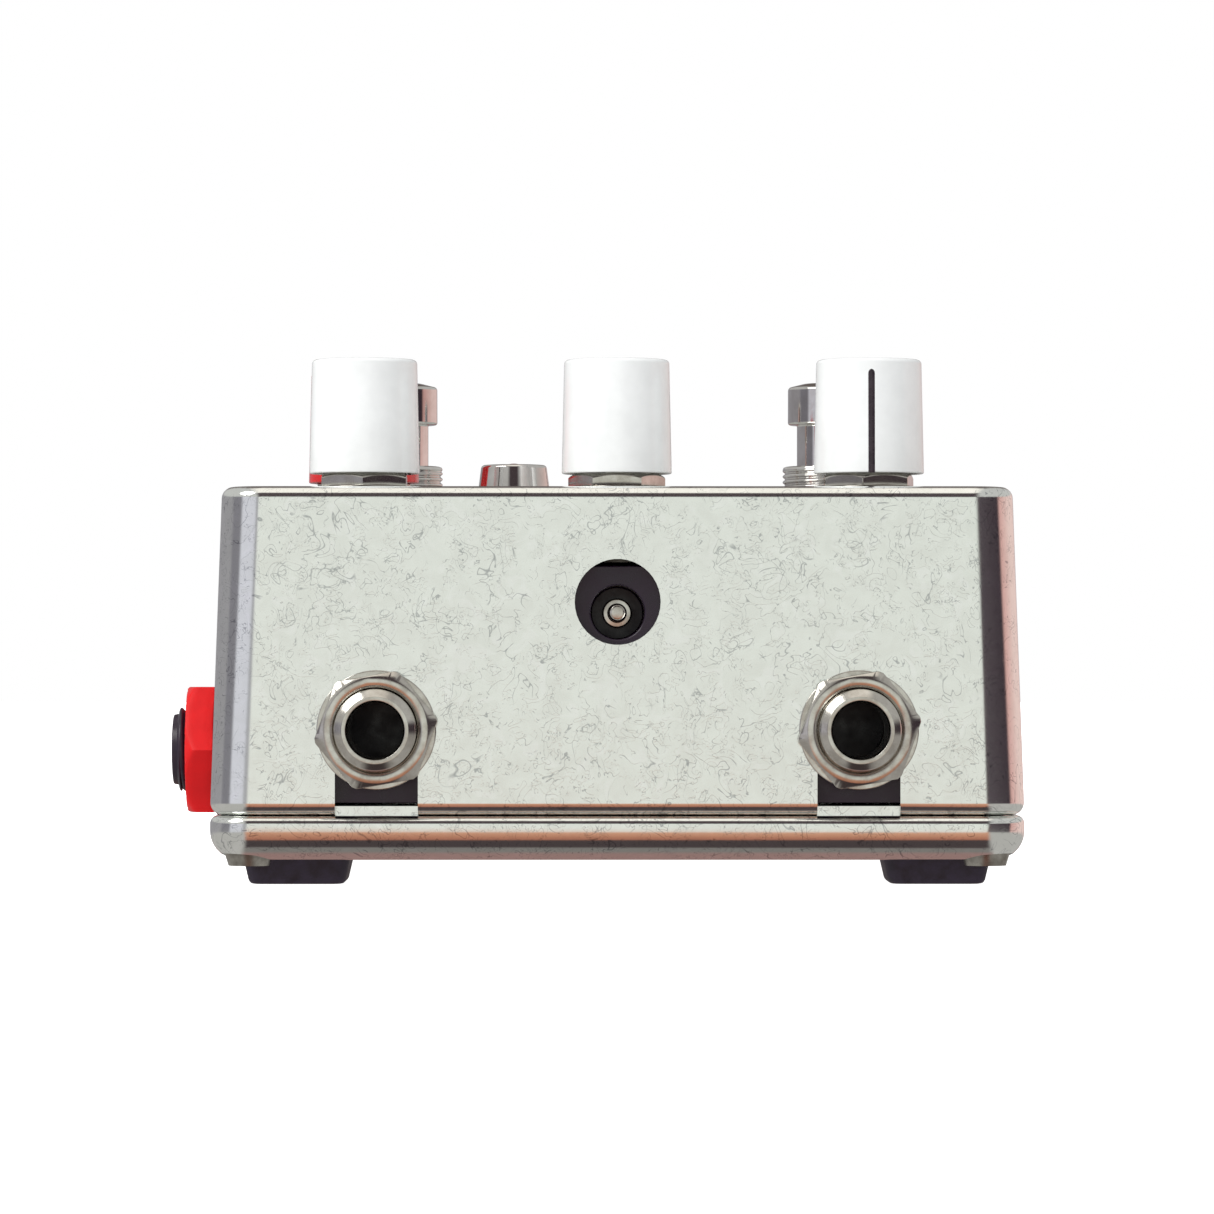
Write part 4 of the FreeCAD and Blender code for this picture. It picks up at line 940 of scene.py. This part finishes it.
# What is inside keeps its CAD shape, with softened edges.
inside = [
    ("inputJackHousing", "input_jack_housing", "black_plastic", blackPlastic, 0.25),
    ("outputJackHousing", "output_jack_housing", "black_plastic", blackPlastic, 0.25),
    ("jackContacts", "jack_contacts", "brass_contact", brass, 0.06),
    ("jackWires", "jack_wires", "wire", wireJacket, 0),
    ("sideJackContacts", "side_jack_contacts", "brass_contact", brass, 0.06),
    ("potTerminals", "pot_terminals", "pot_metal", potMetal, 0.06),
    ("footswitchLugs", "footswitch_lugs", "brass_contact", brass, 0.06),
    ("mainBoard", "main_circuit_board", "board_green", boardMask, 0.08),
    ("powerBoard", "power_circuit_board", "board_green", boardMask, 0.08),
    ("switchBoard", "footswitch_board", "board_green", boardMask, 0.08),
    ("boardConnector", "board_connector", "black_plastic", blackPlastic, 0.15),
    ("ribbonCable", "ribbon_cable", "ribbon_grey", ribbonGrey, 0.15),
    ("chips", "integrated_circuits", "black_plastic", chipBlack, 0.2),
    ("filmCapacitors", "film_capacitors", "film_yellow", filmYellow, 0.3),
    ("electrolyticCans", "electrolytic_capacitors", "can_blue", canBlue, 0.2),
    ("resistorSet", "resistors", "resistor_tan", resistorBands, 0.2),
]
for name, node, slotName, material, bevel in inside:
    smoothCopy(name, node, material, bevel=bevel)
left = sorted(set(nodes) - madeFor)
print("stage: inner parts; nodes left as they are:", left)

# The studio: a pale floor, a soft key light and a surround that is worked out from direction alone.
studio = {
    "floorColour": "#FAFAF9", "floorSize": 4.0, "floorGlow": 1.0,
    "keyPower": 5.0, "keySize": 0.7, "keyPlace": (-0.75, -0.55, 0.85),
    "worldStrength": 1.0, "softFrom": (-0.62, -0.6, 0.5), "softLight": (0.38, 1.2),
    "around": [
        (-180, "#98969A"), (-95, "#98969A"), (-86, "#7E7C83"), (-64, "#7E7C83"), (-58, "#D3D3DC"),
        (-26, "#D3D3DC"), (-21, "#A9A9AE"), (-15, "#A9A9AE"), (-11, "#E6E9E4"), (10, "#E2E6E0"),
        (15, "#4D444A"), (40, "#453B41"), (76, "#3A3037"), (84, "#D5A8A2"), (120, "#E8CCC6"),
        (150, "#E8CCC6"), (180, "#98969A"),
    ],
    "overFront": [(0.2, "#4A4043"), (0.72, "#4A4043"), (0.8, "#FFFAF2"), (1.0, "#FFFAF2")],
    "overBack": [(0.2, "#8F8A88"), (0.32, "#6B6360"), (0.85, "#6B6360"), (0.97, "#FFFAF2")],
    "under": [
        (0.0, "#D9A183"), (0.3, "#C08A70"), (0.56, "#A86E5A"), (0.6, "#483F40"), (0.92, "#483F40"),
        (0.95, "#7D7976"),
    ],
    "underBack": "#957874", "overSide": "#C4C4C2", "underSide": "#B3B1AE",
}


def makeFloor():
    size = studio["floorSize"]
    grid = np.array([[-size, -size, 0], [size, -size, 0], [size, size, 0], [-size, size, 0]], float)
    mesh = bpy.data.meshes.new("paleFloor")
    mesh.from_pydata(grid.tolist(), [], [[0, 1, 2, 3]])
    floor = bpy.data.objects.new("paleFloor", mesh)
    scene.collection.objects.link(floor)
    floorPaint = finish("floorPaint", studio["floorColour"], "#F0F0EE", 0.6, 0.8, 20.0, 0.02, 0.05)
    shader = floorPaint.node_tree.nodes["Principled BSDF"]
    shader.inputs["Emission Color"].default_value = (1.0, 1.0, 1.0, 1.0)
    shader.inputs["Emission Strength"].default_value = studio["floorGlow"]
    floor.data.materials.append(floorPaint)
    floor.visible_glossy = False
    floor.visible_diffuse = False
    return floor


def makeSurround():
    # mirrors see coloured cards all round; everything else is lit by a soft neutral sky
    world = bpy.data.worlds.new("softSurround")
    scene.world = world
    world.use_nodes = True
    tree = world.node_tree
    tree.nodes.clear()
    direction = tree.nodes.new("ShaderNodeTexCoord").outputs["Generated"]
    parts = put(tree, "ShaderNodeSeparateXYZ", None, {"Vector": direction})
    forward = calculate(tree, "MULTIPLY", parts.outputs["Y"], -1.0)
    bearing = calculate(tree, "ARCTAN2", parts.outputs["X"], forward)
    share = calculate(tree, "ADD", calculate(tree, "DIVIDE", bearing, fullTurn), 0.5)

    def between(value, low, high):
        return put(tree, "ShaderNodeMapRange", {"From Min": low, "From Max": high}, {"Value": value},
                   clamp=True).outputs[0]

    level = rampOf(tree, share, [(degrees / 360 + 0.5, linear(code)) for degrees, code in studio["around"]])
    front = rampOf(tree, parts.outputs["Z"], [(height, linear(code)) for height, code in studio["overFront"]])
    back = rampOf(tree, parts.outputs["Z"], [(height, linear(code)) for height, code in studio["overBack"]])
    sideways = between(calculate(tree, "ABSOLUTE", parts.outputs["X"]), 0.2, 0.36)
    above = blendColours(tree, between(parts.outputs["Y"], 0.0, 0.15), front, back)
    above = blendColours(tree, sideways, above, linear(studio["overSide"]))
    sky = blendColours(tree, between(parts.outputs["Z"], 0.13, 0.24), level, above)
    drop = calculate(tree, "MULTIPLY", parts.outputs["Z"], -1.0)
    under = rampOf(tree, drop, [(depth, linear(code)) for depth, code in studio["under"]])
    under = blendColours(tree, between(parts.outputs["Y"], 0.0, 0.2), under, linear(studio["underBack"]))
    under = blendColours(tree, sideways, under, linear(studio["underSide"]))
    cards = blendColours(tree, between(drop, 0.05, 0.14), sky, under)
    lean = put(tree, "ShaderNodeVectorMath", {1: studio["softFrom"]}, {0: direction}, operation="DOT_PRODUCT")
    dim, bright = (tuple([level] * 3 + [1.0]) for level in studio["softLight"])
    soft = blendColours(tree, between(lean.outputs["Value"], -1.0, 1.0), dim, bright)
    rays = tree.nodes.new("ShaderNodeLightPath").outputs
    colour = blendColours(tree, rays["Is Glossy Ray"], soft, cards)
    colour = blendColours(tree, rays["Is Camera Ray"], colour, (1.0, 1.0, 1.0, 1.0))
    shader = put(tree, "ShaderNodeBackground", {"Strength": studio["worldStrength"]}, {"Color": colour})
    out = tree.nodes.new("ShaderNodeOutputWorld")
    tree.links.new(shader.outputs[0], out.inputs[0])


def makeLight(name, place, aim, size, power, colour=(1, 1, 1)):
    light = bpy.data.lights.new(name, "AREA")
    light.shape = "DISK"
    light.size = size
    light.energy = power
    light.color = colour
    holder = bpy.data.objects.new(name, light)
    scene.collection.objects.link(holder)
    holder.location = place
    holder.rotation_euler = (Vector(aim) - Vector(place)).to_track_quat("-Z", "Y").to_euler()
    return holder


makeFloor()
makeSurround()
makeLight("keyLight", studio["keyPlace"], (0, 0, 0.03), studio["keySize"], studio["keyPower"],
          (1.0, 0.99, 0.97))

view = {"place": (-0.00133, -0.7075, 0.025), "yaw": 0.31, "pitch": 0.67, "lens": 165.8, "sensor": 36.0}
cameraData = bpy.data.cameras.new("studioCamera")
cameraData.lens = view["lens"]
cameraData.sensor_width = view["sensor"]
cameraData.clip_start = 0.01
camera = bpy.data.objects.new("studioCamera", cameraData)
scene.collection.objects.link(camera)
camera.location = view["place"]
camera.rotation_euler = (math.radians(90 + view["pitch"]), 0, -math.radians(view["yaw"]))
scene.camera = camera
scene.view_settings.view_transform = "Standard"
print("stage: studio and camera")
